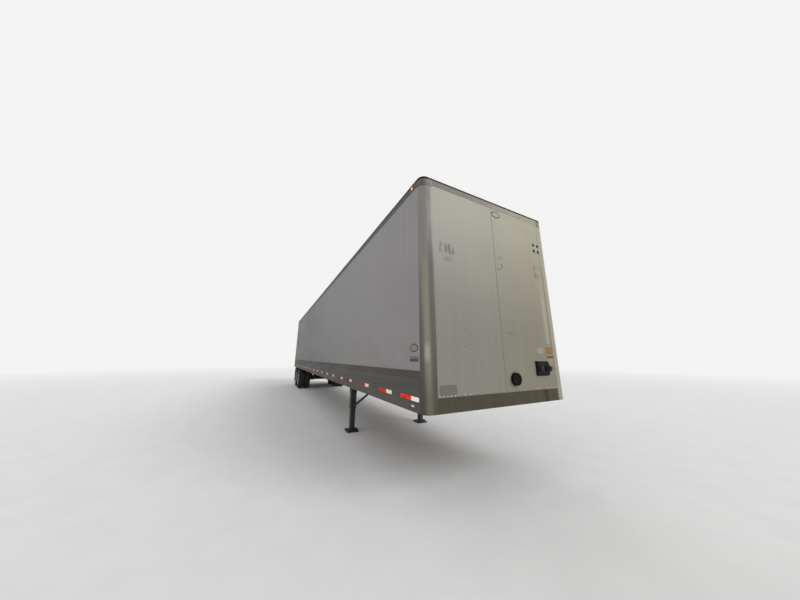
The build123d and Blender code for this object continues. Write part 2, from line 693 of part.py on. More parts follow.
# Crossmembers: I-beams between the bottom rails
beam_profile = (
    # distance from the web's middle, height above the beam's underside
    (-BEAM_FLANGE / 2, 0),
    (BEAM_FLANGE / 2, 0),
    (BEAM_FLANGE / 2, BEAM_FLANGE_THICK),
    (BEAM_WEB / 2, BEAM_FLANGE_THICK),
    (BEAM_WEB / 2, BEAM_DEPTH - BEAM_FLANGE_THICK),
    (BEAM_FLANGE / 2, BEAM_DEPTH - BEAM_FLANGE_THICK),
    (BEAM_FLANGE / 2, BEAM_DEPTH),
    (-BEAM_FLANGE / 2, BEAM_DEPTH),
    (-BEAM_FLANGE / 2, BEAM_DEPTH - BEAM_FLANGE_THICK),
    (-BEAM_WEB / 2, BEAM_DEPTH - BEAM_FLANGE_THICK),
    (-BEAM_WEB / 2, BEAM_FLANGE_THICK),
    (-BEAM_FLANGE / 2, BEAM_FLANGE_THICK),
)
beam_count = int((FRAME_FRONT - BEAM_FIRST - BEAM_FLANGE) / BEAM_PITCH) + 1
with BuildPart() as crossmembers:
    for number in range(beam_count):
        beam_x = station(BEAM_FIRST + number * BEAM_PITCH)
        with BuildSketch(Plane.XZ):
            with BuildLine():
                Polyline([(beam_x + x, BEAM_BOTTOM + z) for x, z in beam_profile], close=True)
            make_face()
    extrude(amount=LEG_FACE, both=True)
crossmembers.part.label = "crossmembers"
export_step(crossmembers.part, "parts/crossmembers.step")

# Upper coupler: the plate that rides on the fifth wheel, with its channels above
coupler_top = RAIL_UNDERSIDE + COUPLER_PLATE
coupler_front = FRONT_INNER + FRONT_LEG
with BuildPart() as upper_coupler:
    with BuildSketch(Plane.XY.offset(RAIL_UNDERSIDE)) as coupler_outline:
        with Locations((station(COUPLER_REAR), 0)):
            Rectangle(COUPLER_REAR - POST_SIDE - CLEAR, 2 * COUPLER_HALF, align=(Align.MIN, Align.CENTER))
        with Locations((station(POST_SIDE + CLEAR + WELD), 0)):
            Rectangle(
                POST_SIDE + CLEAR + WELD - coupler_front,
                2 * POST_INNER,
                align=(Align.MIN, Align.CENTER),
            )
        with Locations((station(KINGPIN_STATION), 0)):
            Circle(PIN_SHOULDER_RADIUS + TOUCH, mode=Mode.SUBTRACT)
    extrude(amount=COUPLER_PLATE)
    for rib in COUPLER_RIBS:
        with BuildSketch(Plane.XZ):
            with Locations((station(rib), coupler_top)):
                Rectangle(COUPLER_WEB, BEAM_TOP - coupler_top, align=(Align.MIN, Align.MIN))
            with Locations((station(rib), BEAM_TOP - COUPLER_WEB)):
                Rectangle(COUPLER_FLANGE, COUPLER_WEB, align=(Align.MIN, Align.MIN))
        extrude(amount=LEG_FACE, both=True)
    with BuildSketch(Plane.XY.offset(coupler_top)):
        for stringer_y in (-STRINGER_Y, STRINGER_Y):
            with Locations((station(COUPLER_RIBS[-1]), stringer_y)):
                Rectangle(COUPLER_RIBS[-1] - COUPLER_RIBS[1], COUPLER_WEB, align=(Align.MIN, Align.CENTER))
    extrude(amount=BEAM_TOP - coupler_top)
upper_coupler.part.label = "upper_coupler"
export_step(upper_coupler.part, "parts/upper_coupler.step")

# Kingpin: flange on the plate, shoulder, neck and foot below it
pin_steps = (
    # radius, height of the step's underside
    (PIN_FLANGE_RADIUS, coupler_top),
    (PIN_SHOULDER_RADIUS, RAIL_UNDERSIDE - PIN_SHOULDER),
    (PIN_NECK_RADIUS, RAIL_UNDERSIDE - PIN_SHOULDER - PIN_NECK),
    (PIN_FOOT_RADIUS, RAIL_UNDERSIDE - PIN_SHOULDER - PIN_NECK - PIN_FOOT),
)
pin_outline = [(0, coupler_top + PIN_FLANGE_THICK)]
step_top = coupler_top + PIN_FLANGE_THICK
for radius, step_low in pin_steps:
    pin_outline += [(radius, step_top), (radius, step_low)]
    step_top = step_low
pin_outline.append((0, step_top))
kingpin_x = station(KINGPIN_STATION)
with BuildPart() as kingpin:
    with BuildSketch(Plane.XZ):
        with BuildLine():
            Polyline([(kingpin_x + r, z) for r, z in pin_outline], close=True)
        make_face()
    revolve(axis=Axis((kingpin_x, 0, 0), (0, 0, 1)))
    pin_end = kingpin.edges().filter_by(GeomType.CIRCLE).sort_by(Axis.Z)[0]
    chamfer(pin_end, PIN_BEVEL)
kingpin.part.label = "kingpin"
export_step(kingpin.part, "parts/kingpin.step")

# Rear frame: a welded portal of channel section, with hinge butts and lock keepers on it
hinge_heights = [
    HINGE_FIRST + number * (HINGE_LAST - HINGE_FIRST) / (HINGE_COUNT - 1) for number in range(HINGE_COUNT)
]
rear_x = station(REAR_FACE)
frame_middle_z = (FRAME_BOTTOM + HEIGHT) / 2
opening_middle_z = (FLOOR_TOP + HEADER_BOTTOM) / 2
frame_height = HEIGHT - FRAME_BOTTOM
opening_height = HEADER_BOTTOM - FLOOR_TOP
keeper_heights = (SILL_KEEPER_Z, HEADER_KEEPER_Z)
keeper_reach = ROD_STAND + ROD_RADIUS
with BuildPart() as rear_frame:
    with BuildSketch(Plane.YZ.offset(rear_x)):
        with Locations((0, frame_middle_z)):
            Rectangle(WIDTH, frame_height)
        with Locations((0, opening_middle_z)):
            Rectangle(2 * OPENING_HALF, opening_height, mode=Mode.SUBTRACT)
    extrude(amount=FRAME_PLATE)
    with BuildSketch(Plane.YZ.offset(rear_x)):
        with Locations((0, frame_middle_z)):
            Rectangle(WIDTH, frame_height)
            Rectangle(WIDTH - 2 * FRAME_WALL, frame_height - 2 * FRAME_WALL, mode=Mode.SUBTRACT)
        with Locations((0, opening_middle_z)):
            Rectangle(2 * (OPENING_HALF + FRAME_WALL), opening_height + 2 * FRAME_WALL)
            Rectangle(2 * OPENING_HALF, opening_height, mode=Mode.SUBTRACT)
    extrude(amount=FRAME_DEPTH)
    for side_name, side in SIDES:
        butt_inner = side * (HINGE_Y - BUTT_REACH)
        butt_outer = side * (HALF - BUTT_INSET)
        for height in hinge_heights:
            with BuildSketch(Plane.YZ.offset(rear_x)):
                with Locations(((butt_inner + butt_outer) / 2, height)):
                    Rectangle(abs(butt_outer - butt_inner), 2 * EAR_HALF)
            extrude(amount=-BUTT_THICK)
            for low in (height + KNUCKLE_HALF + CLEAR, height - EAR_HALF):
                with BuildSketch(Plane.XY.offset(low)):
                    with Locations((rear_x - HINGE_STAND, side * HINGE_Y)):
                        Circle(KNUCKLE_RADIUS)
                        Rectangle(HINGE_STAND, 2 * KNUCKLE_RADIUS, align=(Align.MIN, Align.CENTER))
                extrude(amount=EAR_HALF - KNUCKLE_HALF - CLEAR)
            with BuildSketch(Plane.XY.offset(height - EAR_HALF)):
                with Locations((rear_x - HINGE_STAND, side * HINGE_Y)):
                    Circle(PIN_RADIUS)
            extrude(amount=2 * EAR_HALF)
        for place in ROD_PLACES:
            for height in keeper_heights:
                for ear in (-1, 1):
                    ear_y = side * place + ear * (CAM_HALF + KEEPER_GAP + KEEPER_WALL / 2)
                    with BuildSketch(Plane.YZ.offset(rear_x)):
                        with Locations((ear_y, height)):
                            Rectangle(KEEPER_WALL, 2 * KEEPER_HALF_HEIGHT)
                    extrude(amount=-keeper_reach)
rear_frame.part.label = "rear_frame"
export_step(rear_frame.part, "parts/rear_frame.step")

# Rear doors, flush in the frame, with their hinge straps and lock rods
door_inner_edge = DOOR_MEETING_GAP / 2
door_width = DOOR_EDGE - door_inner_edge
hinge_x = rear_x - HINGE_STAND
rod_x = rear_x - ROD_STAND
for side_name, side in SIDES:
    with BuildPart(Plane.XY.offset(DOOR_BOTTOM)) as rear_door:
        with Locations((rear_x, side * (DOOR_EDGE + door_inner_edge) / 2)):
            Box(
                DOOR_THICK,
                door_width,
                DOOR_TOP - DOOR_BOTTOM,
                align=(Align.MIN, Align.CENTER, Align.MIN),
            )
    rear_door.part.label = f"rear_door_{side_name}"
    export_step(rear_door.part, f"parts/rear_door_{side_name}.step")

    strap_profile = (
        # distance in front of the pin axis, distance inboard of it
        (KNUCKLE_RADIUS, 0),
        (HINGE_STAND - STRAP_CLEAR - STRAP_SLOPE, STRAP_LEVEL),
        (HINGE_STAND - STRAP_CLEAR, DOOR_SEAT - STRAP_EASE),
        (HINGE_STAND, DOOR_SEAT),
        (HINGE_STAND, STRAP_REACH),
        (HINGE_STAND - STRAP_THICK, STRAP_REACH),
        (HINGE_STAND - STRAP_THICK, DOOR_SEAT + STRAP_EASE),
        (HINGE_STAND - STRAP_CLEAR - STRAP_THICK, DOOR_SEAT - 2 * STRAP_EASE),
        (HINGE_STAND - STRAP_CLEAR - STRAP_THICK - STRAP_SLOPE, STRAP_LEVEL),
        (0, KNUCKLE_RADIUS - WELD),
    )
    with BuildPart() as door_hinges:
        for height in hinge_heights:
            with BuildSketch(Plane.XY.offset(height - KNUCKLE_HALF)):
                with BuildLine():
                    Polyline(
                        [(hinge_x + x, side * (HINGE_Y - y)) for x, y in strap_profile],
                        close=True,
                    )
                make_face()
                with Locations((hinge_x, side * HINGE_Y)):
                    Circle(KNUCKLE_RADIUS)
                    Circle(PIN_RADIUS + TOUCH, mode=Mode.SUBTRACT)
            extrude(amount=2 * KNUCKLE_HALF)
    door_hinges.part.label = f"door_hinges_{side_name}"
    export_step(door_hinges.part, f"parts/door_hinges_{side_name}.step")

    door_middle = (DOOR_BOTTOM + DOOR_TOP) / 2
    guide_heights = [DOOR_BOTTOM + GUIDE_END, door_middle + GUIDE_RAISE, DOOR_TOP - GUIDE_END]
    with BuildPart() as lock_rods:
        for place, handle_way, handle_rise in zip(ROD_PLACES, (-1, 1), (LOW_HANDLE, HIGH_HANDLE)):
            with BuildSketch(Plane.XY.offset(SILL_KEEPER_Z)):
                with Locations((rod_x, side * place)):
                    Circle(ROD_RADIUS)
            extrude(amount=HEADER_KEEPER_Z - SILL_KEEPER_Z)
            for height in keeper_heights:
                with BuildSketch(Plane.XY.offset(height - CAM_HEIGHT / 2)):
                    with Locations((rear_x - CAM_REACH, side * place)):
                        Rectangle(CAM_REACH - CAM_CLEAR, 2 * CAM_HALF, align=(Align.MIN, Align.CENTER))
                extrude(amount=CAM_HEIGHT)
            for height in guide_heights:
                with BuildSketch(Plane.XY.offset(height - GUIDE_HEIGHT / 2)):
                    with Locations((rear_x, side * place)):
                        Rectangle(GUIDE_REACH, GUIDE_WIDTH, align=(Align.MAX, Align.CENTER))
                extrude(amount=GUIDE_HEIGHT)
            with BuildSketch(Plane.XZ.offset(-side * place)):
                with Locations((rod_x, FLOOR_TOP + handle_rise)):
                    Rectangle(HANDLE_THICK, HANDLE_WIDTH)
            extrude(amount=-side * handle_way * HANDLE_LENGTH)
    lock_rods.part.label = f"lock_rods_{side_name}"
    export_step(lock_rods.part, f"parts/lock_rods_{side_name}.step")

# Landing legs: outer tube with its wing brackets, and the inner tube below it
leg_x = station(LEG_STATION)
wing_profile = (
    # distance from the leg's axis, height
    (-WING_WIDTH / 2, BEAM_BOTTOM),
    (WING_WIDTH / 2, BEAM_BOTTOM),
    (LEG_TUBE / 2, WING_BOTTOM),
    (-LEG_TUBE / 2, WING_BOTTOM),
)
with BuildPart() as landing_legs:
    for side_name, side in SIDES:
        with BuildSketch(Plane.XY.offset(LEG_TUBE_BOTTOM)):
            with Locations((leg_x, side * LEG_Y)):
                RectangleRounded(LEG_TUBE, LEG_TUBE, LEG_CORNER)
        extrude(amount=BEAM_BOTTOM - LEG_TUBE_BOTTOM)
        with BuildSketch(Plane.XY.offset(FOOT_HEIGHT)):
            with Locations((leg_x, side * LEG_Y)):
                Rectangle(LEG_INNER, LEG_INNER)
        extrude(amount=LEG_TUBE_BOTTOM - FOOT_HEIGHT)
        for face in (-1, 1):
            wing_y = side * LEG_Y + face * (LEG_TUBE - WING_THICK) / 2
            with BuildSketch(Plane.XZ.offset(-wing_y)):
                with BuildLine():
                    Polyline([(leg_x + x, z) for x, z in wing_profile], close=True)
                make_face()
            extrude(amount=WING_THICK / 2, both=True)
landing_legs.part.label = "landing_legs"
export_step(landing_legs.part, "parts/landing_legs.step")

# Landing feet: a turned-up sand shoe under each leg
shoe_profile = (
    # distance from the leg's axis, height
    (-FOOT_LENGTH / 2 + FOOT_TURN, 0),
    (FOOT_LENGTH / 2 - FOOT_TURN, 0),
    (FOOT_LENGTH / 2, FOOT_TURN),
    (FOOT_LENGTH / 2 - FOOT_TIP, FOOT_TURN + FOOT_TIP),
    (FOOT_LENGTH / 2 - FOOT_TURN - FOOT_TIP, FOOT_PLATE),
    (LEG_INNER / 2, FOOT_PLATE),
    (LEG_INNER / 2, FOOT_HEIGHT),
    (-LEG_INNER / 2, FOOT_HEIGHT),
    (-LEG_INNER / 2, FOOT_PLATE),
    (-FOOT_LENGTH / 2 + FOOT_TURN + FOOT_TIP, FOOT_PLATE),
    (-FOOT_LENGTH / 2 + FOOT_TIP, FOOT_TURN + FOOT_TIP),
    (-FOOT_LENGTH / 2, FOOT_TURN),
)
with BuildPart() as landing_feet:
    for side_name, side in SIDES:
        with BuildSketch(Plane.XZ.offset(-side * LEG_Y)):
            with BuildLine():
                Polyline([(leg_x + x, z) for x, z in shoe_profile], close=True)
            make_face()
        extrude(amount=FOOT_WIDTH / 2, both=True)
landing_feet.part.label = "landing_feet"
export_step(landing_feet.part, "parts/landing_feet.step")


def bar_outline(start, end, width):
    """Four corners of a flat bar between two points of a plane."""
    run = hypot(end[0] - start[0], end[1] - start[1])
    across = (-(end[1] - start[1]) / run * width / 2, (end[0] - start[0]) / run * width / 2)
    return [
        (start[0] + across[0], start[1] + across[1]),
        (end[0] + across[0], end[1] + across[1]),
        (end[0] - across[0], end[1] - across[1]),
        (start[0] - across[0], start[1] - across[1]),
    ]


# Landing gear braces: two run back and two run in to the crossmembers
leg_face_y = LEG_Y - LEG_TUBE / 2
with BuildPart() as landing_braces:
    for side_name, side in SIDES:
        back_start = (leg_x - LEG_TUBE / 2 + BRACE_LAP, BRACE_LOW)
        back_end = (leg_x - BRACE_RUN, BEAM_BOTTOM + BRACE_LAP)
        with BuildSketch(Plane.XZ.offset(-side * (leg_face_y - BRACE_THICK / 2))):
            with BuildLine():
                Polyline(bar_outline(back_start, back_end, BRACE_WIDTH), close=True)
            make_face()
            with Locations((leg_x - BRACE_RUN / 2, BEAM_BOTTOM)):
                Rectangle(2 * BRACE_RUN, BEAM_DEPTH, align=(Align.CENTER, Align.MIN), mode=Mode.SUBTRACT)
        extrude(amount=BRACE_THICK / 2, both=True)
        cross_start = (side * (leg_face_y + BRACE_SIDE_LAP), BRACE_LOW)
        cross_end = (side * BRACE_INNER_Y, BEAM_BOTTOM + BRACE_LAP)
        with BuildSketch(Plane.YZ.offset(leg_x + LEG_TUBE / 2)):
            with BuildLine():
                Polyline(bar_outline(cross_start, cross_end, BRACE_WIDTH), close=True)
            make_face()
            with Locations((0, BEAM_BOTTOM)):
                Rectangle(WIDTH, BEAM_DEPTH, align=(Align.CENTER, Align.MIN), mode=Mode.SUBTRACT)
        extrude(amount=BRACE_THICK)
landing_braces.part.label = "landing_braces"
export_step(landing_braces.part, "parts/landing_braces.step")

# Cross shaft between the legs, gearbox on the left leg and the folded crank
with BuildPart() as landing_shaft:
    with BuildSketch(Plane.XZ):
        with Locations((leg_x, SHAFT_Z)):
            Circle(SHAFT_RADIUS)
    extrude(amount=leg_face_y, both=True)
landing_shaft.part.label = "landing_shaft"
export_step(landing_shaft.part, "parts/landing_shaft.step")

gearbox_inner = LEG_Y + LEG_TUBE / 2
gearbox_outer = gearbox_inner + GEARBOX_DEPTH
with BuildPart() as landing_gearbox:
    with BuildSketch(Plane.XZ.offset(-gearbox_inner)):
        with Locations((leg_x, SHAFT_Z)):
            RectangleRounded(GEARBOX_WIDTH, GEARBOX_HEIGHT, GEARBOX_CORNER)
    extrude(amount=-GEARBOX_DEPTH)
landing_gearbox.part.label = "landing_gearbox"
export_step(landing_gearbox.part, "parts/landing_gearbox.step")

crank_high = SHAFT_Z - CRANK_SET
crank_low = crank_high - CRANK_DROP
crank_points = (
    # distance outboard of the gearbox, height
    (0, crank_high),
    (CRANK_SET, crank_high),
    (CRANK_SET, crank_low),
    (CRANK_SET + CRANK_GRIP, crank_low),
)
with BuildPart() as landing_crank:
    with BuildLine(Plane.YZ.offset(leg_x)) as crank_route:
        FilletPolyline([(gearbox_outer + y, z) for y, z in crank_points], radius=CRANK_BEND)
    with BuildSketch(Plane.XZ.offset(-gearbox_outer)):
        with Locations((leg_x, crank_high)):
            Circle(CRANK_RADIUS)
    sweep()
landing_crank.part.label = "landing_crank"
export_step(landing_crank.part, "parts/landing_crank.step")

# Slide rails under the body: a flange that rides on the tandem's frame and a guiding web
slide_inner = SLIDE_Y - BOGIE_RAIL_WIDTH / 2
slide_outer = SLIDE_Y + BOGIE_RAIL_WIDTH / 2
slide_web = slide_outer + SLIDE_SIDE_GAP
slide_profile = (
    # distance from the centre line, height
    (slide_inner, BEAM_BOTTOM),
    (slide_web + SLIDE_FLANGE, BEAM_BOTTOM),
    (slide_web + SLIDE_FLANGE, SLIDE_WEB_BOTTOM),
    (slide_web, SLIDE_WEB_BOTTOM),
    (slide_web, BEAM_BOTTOM - SLIDE_FLANGE),
    (slide_inner, BEAM_BOTTOM - SLIDE_FLANGE),
)
with BuildPart() as slide_rails:
    for side_name, side in SIDES:
        with BuildSketch(Plane.YZ.offset(station(SLIDE_REAR))):
            with BuildLine():
                Polyline([(side * y, z) for y, z in slide_profile], close=True)
            make_face()
        extrude(amount=SLIDE_REAR - SLIDE_FRONT)
        for stop in (SLIDE_REAR, SLIDE_FRONT + STOP_THICK):
            with BuildSketch(Plane.YZ.offset(station(stop))):
                with Locations((side * (slide_inner + slide_web) / 2, SLIDE_WEB_BOTTOM)):
                    Rectangle(
                        slide_web - slide_inner,
                        BEAM_BOTTOM - SLIDE_FLANGE - SLIDE_WEB_BOTTOM,
                        align=(Align.CENTER, Align.MIN),
                    )
            extrude(amount=STOP_THICK)
slide_rails.part.label = "slide_rails"
export_step(slide_rails.part, "parts/slide_rails.step")

# Tandem frame: channel rails, cross tubes, spring hangers and the mud flap bar, welded; the middle
# hangers carry an equalizer on its pivot, which bears on the ends of both springs
bogie_top = BEAM_BOTTOM - SLIDE_FLANGE - SLIDE_GAP
bogie_low = bogie_top - BOGIE_RAIL_DEPTH
bogie_profile = (
    # distance from the centre line, height
    (slide_inner, bogie_low),
    (slide_outer, bogie_low),
    (slide_outer, bogie_top),
    (slide_inner, bogie_top),
    (slide_inner, bogie_top - BOGIE_RAIL_WALL),
    (slide_outer - BOGIE_RAIL_WALL, bogie_top - BOGIE_RAIL_WALL),
    (slide_outer - BOGIE_RAIL_WALL, bogie_low + BOGIE_RAIL_WALL),
    (slide_inner, bogie_low + BOGIE_RAIL_WALL),
)
hanger_profile = (
    # distance from the hanger's middle, height
    (-HANGER_TOP_WIDTH / 2, bogie_low),
    (HANGER_TOP_WIDTH / 2, bogie_low),
    (HANGER_BOTTOM_WIDTH / 2, HANGER_BOTTOM),
    (-HANGER_BOTTOM_WIDTH / 2, HANGER_BOTTOM),
)
equalizer_hanger = HANGER_STATIONS[1]
pad_low = SPRING_END_TOP + SEAT_GAP
equalizer_profile = (
    # distance from the pivot, height above the springs' ends
    (-EQUALIZER_REACH, 0),
    (-SPRING_END_GAP / 2, 0),
    (-SPRING_END_GAP / 4, EQUALIZER_ARCH),
    (SPRING_END_GAP / 4, EQUALIZER_ARCH),
    (SPRING_END_GAP / 2, 0),
    (EQUALIZER_REACH, 0),
    (EQUALIZER_REACH, EQUALIZER_TIP),
    (2 * PIVOT_RADIUS, EQUALIZER_DEPTH),
    (-2 * PIVOT_RADIUS, EQUALIZER_DEPTH),
    (-EQUALIZER_REACH, EQUALIZER_TIP),
)
cheek_inner = SPRING_WIDTH / 2 + SEAT_GAP
tube_low = bogie_low + TUBE_RISE
with BuildPart() as bogie_frame:
    for side_name, side in SIDES:
        with BuildSketch(Plane.YZ.offset(station(BOGIE_REAR))):
            with BuildLine():
                Polyline([(side * y, z) for y, z in bogie_profile], close=True)
            make_face()
        extrude(amount=BOGIE_REAR - BOGIE_FRONT)
        for hanger in HANGER_STATIONS:
            for cheek in (-1, 1):
                cheek_y = side * SLIDE_Y + cheek * (cheek_inner + CHEEK_THICK / 2)
                with BuildSketch(Plane.XZ.offset(-cheek_y)):
                    with BuildLine():
                        Polyline([(station(hanger) + x, z) for x, z in hanger_profile], close=True)
                    make_face()
                extrude(amount=CHEEK_THICK / 2, both=True)
            if hanger != equalizer_hanger:
                with BuildSketch(Plane.XY.offset(pad_low)):
                    with Locations((station(hanger), side * SLIDE_Y)):
                        Rectangle(HANGER_BOTTOM_WIDTH, 2 * cheek_inner + CHEEK_THICK)
                extrude(amount=PAD_HEIGHT)
        with BuildSketch(Plane.XZ.offset(-side * SLIDE_Y)):
            with BuildLine():
                Polyline([(station(equalizer_hanger) + x, pad_low + z) for x, z in equalizer_profile], close=True)
            make_face()
        extrude(amount=SPRING_WIDTH / 2, both=True)
        with BuildSketch(Plane.XZ.offset(-side * SLIDE_Y)):
            with Locations((station(equalizer_hanger), pad_low + PIVOT_RISE)):
                Circle(PIVOT_RADIUS)
        extrude(amount=cheek_inner + CHEEK_THICK + PIVOT_END, both=True)
    with BuildSketch(Plane.XZ):
        for hanger in HANGER_STATIONS:
            with Locations((station(hanger), tube_low)):
                Rectangle(TUBE_WIDTH, TUBE_HEIGHT, align=(Align.CENTER, Align.MIN))
    extrude(amount=slide_outer - BOGIE_RAIL_WALL + WELD, both=True)
    with BuildSketch(Plane.XZ):
        with Locations((station(BOGIE_REAR) + WELD, bogie_low + FLAP_BAR_RISE)):
            Rectangle(FLAP_BAR + WELD, FLAP_BAR, align=(Align.MAX, Align.MIN))
    extrude(amount=HALF - FLAP_INSET, both=True)
bogie_frame.part.label = "bogie_frame"
export_step(bogie_frame.part, "parts/bogie_frame.step")

# Leaf springs, one pack above each end of each axle
with BuildPart() as leaf_springs:
    for axle in AXLE_STATIONS:
        axle_x = station(axle)
        for side_name, side in SIDES:
            with BuildSketch(Plane.XZ.offset(-side * SLIDE_Y)):
                with BuildLine():
                    ThreePointArc(
                        (axle_x - SPRING_HALF, SPRING_END_TOP),
                        (axle_x, SEAT_TOP + SPRING_CENTRE_THICK),
                        (axle_x + SPRING_HALF, SPRING_END_TOP),
                    )
                    Line(
                        (axle_x + SPRING_HALF, SPRING_END_TOP),
                        (axle_x + SPRING_HALF, SPRING_END_TOP - SPRING_END_THICK),
                    )
                    ThreePointArc(
                        (axle_x + SPRING_HALF, SPRING_END_TOP - SPRING_END_THICK),
                        (axle_x, SEAT_TOP + SEAT_GAP),
                        (axle_x - SPRING_HALF, SPRING_END_TOP - SPRING_END_THICK),
                    )
                    Line(
                        (axle_x - SPRING_HALF, SPRING_END_TOP - SPRING_END_THICK),
                        (axle_x - SPRING_HALF, SPRING_END_TOP),
                    )
                make_face()
            extrude(amount=SPRING_WIDTH / 2, both=True)
leaf_springs.part.label = "leaf_springs"
export_step(leaf_springs.part, "parts/leaf_springs.step")

# Axles: tube, spindles, spring seats, brake shields, and on each end the chamber's bracket with the
# pushrod, the slack adjuster and the camshaft that runs out to the brake
with BuildPart() as axles:
    for axle in AXLE_STATIONS:
        axle_x = station(axle)
        axle_steps = (
            # radius, half length
            (AXLE_RADIUS, SPINDLE_START),
            (SPINDLE_RADIUS, SPINDLE_END),
        )
        for radius, half_length in axle_steps:
            with BuildSketch(Plane.XZ):
                with Locations((axle_x, TYRE_RADIUS)):
                    Circle(radius)
            extrude(amount=half_length, both=True)
        for side_name, side in SIDES:
            with BuildSketch(Plane.XZ.offset(-side * (SPINDLE_START - SHIELD_THICK))):
                with Locations((axle_x, TYRE_RADIUS)):
                    Circle(SHIELD_RADIUS)
            extrude(amount=-side * SHIELD_THICK)
            with BuildSketch(Plane.XY.offset(TYRE_RADIUS)):
                with Locations((axle_x, side * SLIDE_Y)):
                    Rectangle(SEAT_LENGTH, SPRING_WIDTH + 2 * SEAT_BORDER)
            extrude(amount=SEAT_TOP - TYRE_RADIUS)
            for arm_y in (CHAMBER_Y - BRACKET_SPREAD, CHAMBER_Y + BRACKET_SPREAD):
                with BuildSketch(Plane.XZ.offset(-side * arm_y)):
                    with BuildLine():
                        Polyline(
                            [
                                (axle_x, TYRE_RADIUS + BRACKET_ROOT),
                                (axle_x - CHAMBER_BACK, CHAMBER_Z + BRACKET_HALF),
                                (axle_x - CHAMBER_BACK, CHAMBER_Z - BRACKET_HALF),
                                (axle_x, TYRE_RADIUS - BRACKET_ROOT),
                            ],
                            close=True,
                        )
                    make_face()
                extrude(amount=BRACKET_THICK / 2, both=True)
            with BuildSketch(Plane.YZ.offset(axle_x - CHAMBER_BACK)):
                with Locations((side * CHAMBER_Y, CHAMBER_Z)):
                    Rectangle(MOUNT_WIDTH, 2 * BRACKET_HALF)
            extrude(amount=MOUNT_THICK)
            with BuildSketch(Plane.YZ.offset(axle_x - CHAMBER_BACK + WELD)):
                with Locations((side * CHAMBER_Y, CHAMBER_Z)):
                    Circle(PUSHROD_RADIUS)
            extrude(amount=PUSHROD_REACH)
            rod_end = (axle_x - CHAMBER_BACK + PUSHROD_REACH, CHAMBER_Z)
            camshaft = (rod_end[0], CHAMBER_Z - ADJUSTER_LENGTH)
            with BuildSketch(Plane.XZ.offset(-side * CHAMBER_Y)):
                with Locations(camshaft):
                    Rectangle(
                        ADJUSTER_WIDTH,
                        ADJUSTER_LENGTH + ADJUSTER_TOP,
                        align=(Align.CENTER, Align.MIN),
                    )
                    Circle(ADJUSTER_BOSS)
            extrude(amount=ADJUSTER_THICK / 2, both=True)
            with BuildSketch(Plane.XZ.offset(-side * CHAMBER_Y)):
                with Locations(camshaft):
                    Circle(CAMSHAFT_RADIUS)
            extrude(amount=-side * (SPINDLE_START - SHIELD_THICK / 2 - CHAMBER_Y))
axles.part.label = "axles"
export_step(axles.part, "parts/axles.step")

# Radius rods from the hangers in front of each axle back to the axle
with BuildPart() as radius_rods:
    for axle, hanger in zip(AXLE_STATIONS, HANGER_STATIONS):
        eye = (station(hanger), ROD_EYE_Z)
        seat = (station(axle) + AXLE_RADIUS - ROD_ROOT, TYRE_RADIUS + ROD_ROOT_RISE)
        for side_name, side in SIDES:
            with BuildSketch(Plane.XZ.offset(-side * SLIDE_Y)):
                with BuildLine():
                    Polyline(bar_outline(eye, seat, ROD_BAR), close=True)
                make_face()
                with Locations(eye):
                    Circle(ROD_EYE_RADIUS)
                with Locations((station(axle), TYRE_RADIUS)):
                    Circle(AXLE_RADIUS + TOUCH, mode=Mode.SUBTRACT)
                    Rectangle(SEAT_LENGTH + 2 * TOUCH, 4 * AXLE_RADIUS, mode=Mode.SUBTRACT)
            extrude(amount=SPRING_WIDTH / 2, both=True)
radius_rods.part.label = "radius_rods"
export_step(radius_rods.part, "parts/radius_rods.step")

# Brake chambers behind each axle
chamber_profile = (
    # distance behind the bracket, radius
    (0, 0),
    (0, CHAMBER_RADIUS),
    (CLAMP_PLACE, CHAMBER_RADIUS),
    (CLAMP_PLACE, CLAMP_RADIUS),
    (CLAMP_PLACE + CLAMP_WIDTH, CLAMP_RADIUS),
    (CLAMP_PLACE + CLAMP_WIDTH, CHAMBER_RADIUS),
    (CHAMBER_LENGTH, CHAMBER_RADIUS),
    (CHAMBER_LENGTH, 0),
)
with BuildPart() as brake_chambers:
    for axle in AXLE_STATIONS:
        chamber_x = station(axle) - CHAMBER_BACK
        for side_name, side in SIDES:
            with BuildSketch(Plane.XZ.offset(-side * CHAMBER_Y)):
                with BuildLine():
                    Polyline([(chamber_x - x, CHAMBER_Z + r) for x, r in chamber_profile], close=True)
                make_face()
            revolve(axis=Axis((chamber_x, side * CHAMBER_Y, CHAMBER_Z), (1, 0, 0)))
brake_chambers.part.label = "brake_chambers"
export_step(brake_chambers.part, "parts/brake_chambers.step")

# Air tanks under the first two cross tubes
with BuildPart() as air_tanks:
    for hanger in HANGER_STATIONS[:2]:
        tank_z = tube_low - TANK_RADIUS - TOUCH
        with BuildSketch(Plane.XZ):
            with Locations((station(hanger), tank_z)):
                Circle(TANK_RADIUS)
        extrude(amount=TANK_HALF, both=True)
    rims = air_tanks.edges().filter_by(GeomType.CIRCLE)
    chamfer(rims, TANK_DOME, TANK_DISH)
air_tanks.part.label = "air_tanks"
export_step(air_tanks.part, "parts/air_tanks.step")

# Mud flaps behind the rear duals
flap_x = station(BOGIE_REAR) - FLAP_BAR
with BuildPart(Plane.XY.offset(FLAP_BOTTOM)) as mud_flaps:
    for side_name, side in SIDES:
        with Locations((flap_x, side * (HALF - FLAP_INSET - FLAP_WIDTH / 2))):
            Box(
                FLAP_THICK,
                FLAP_WIDTH,
                bogie_low + FLAP_BAR_RISE + FLAP_BAR - FLAP_BOTTOM,
                align=(Align.MAX, Align.CENTER, Align.MIN),
            )
mud_flaps.part.label = "mud_flaps"
export_step(mud_flaps.part, "parts/mud_flaps.step")

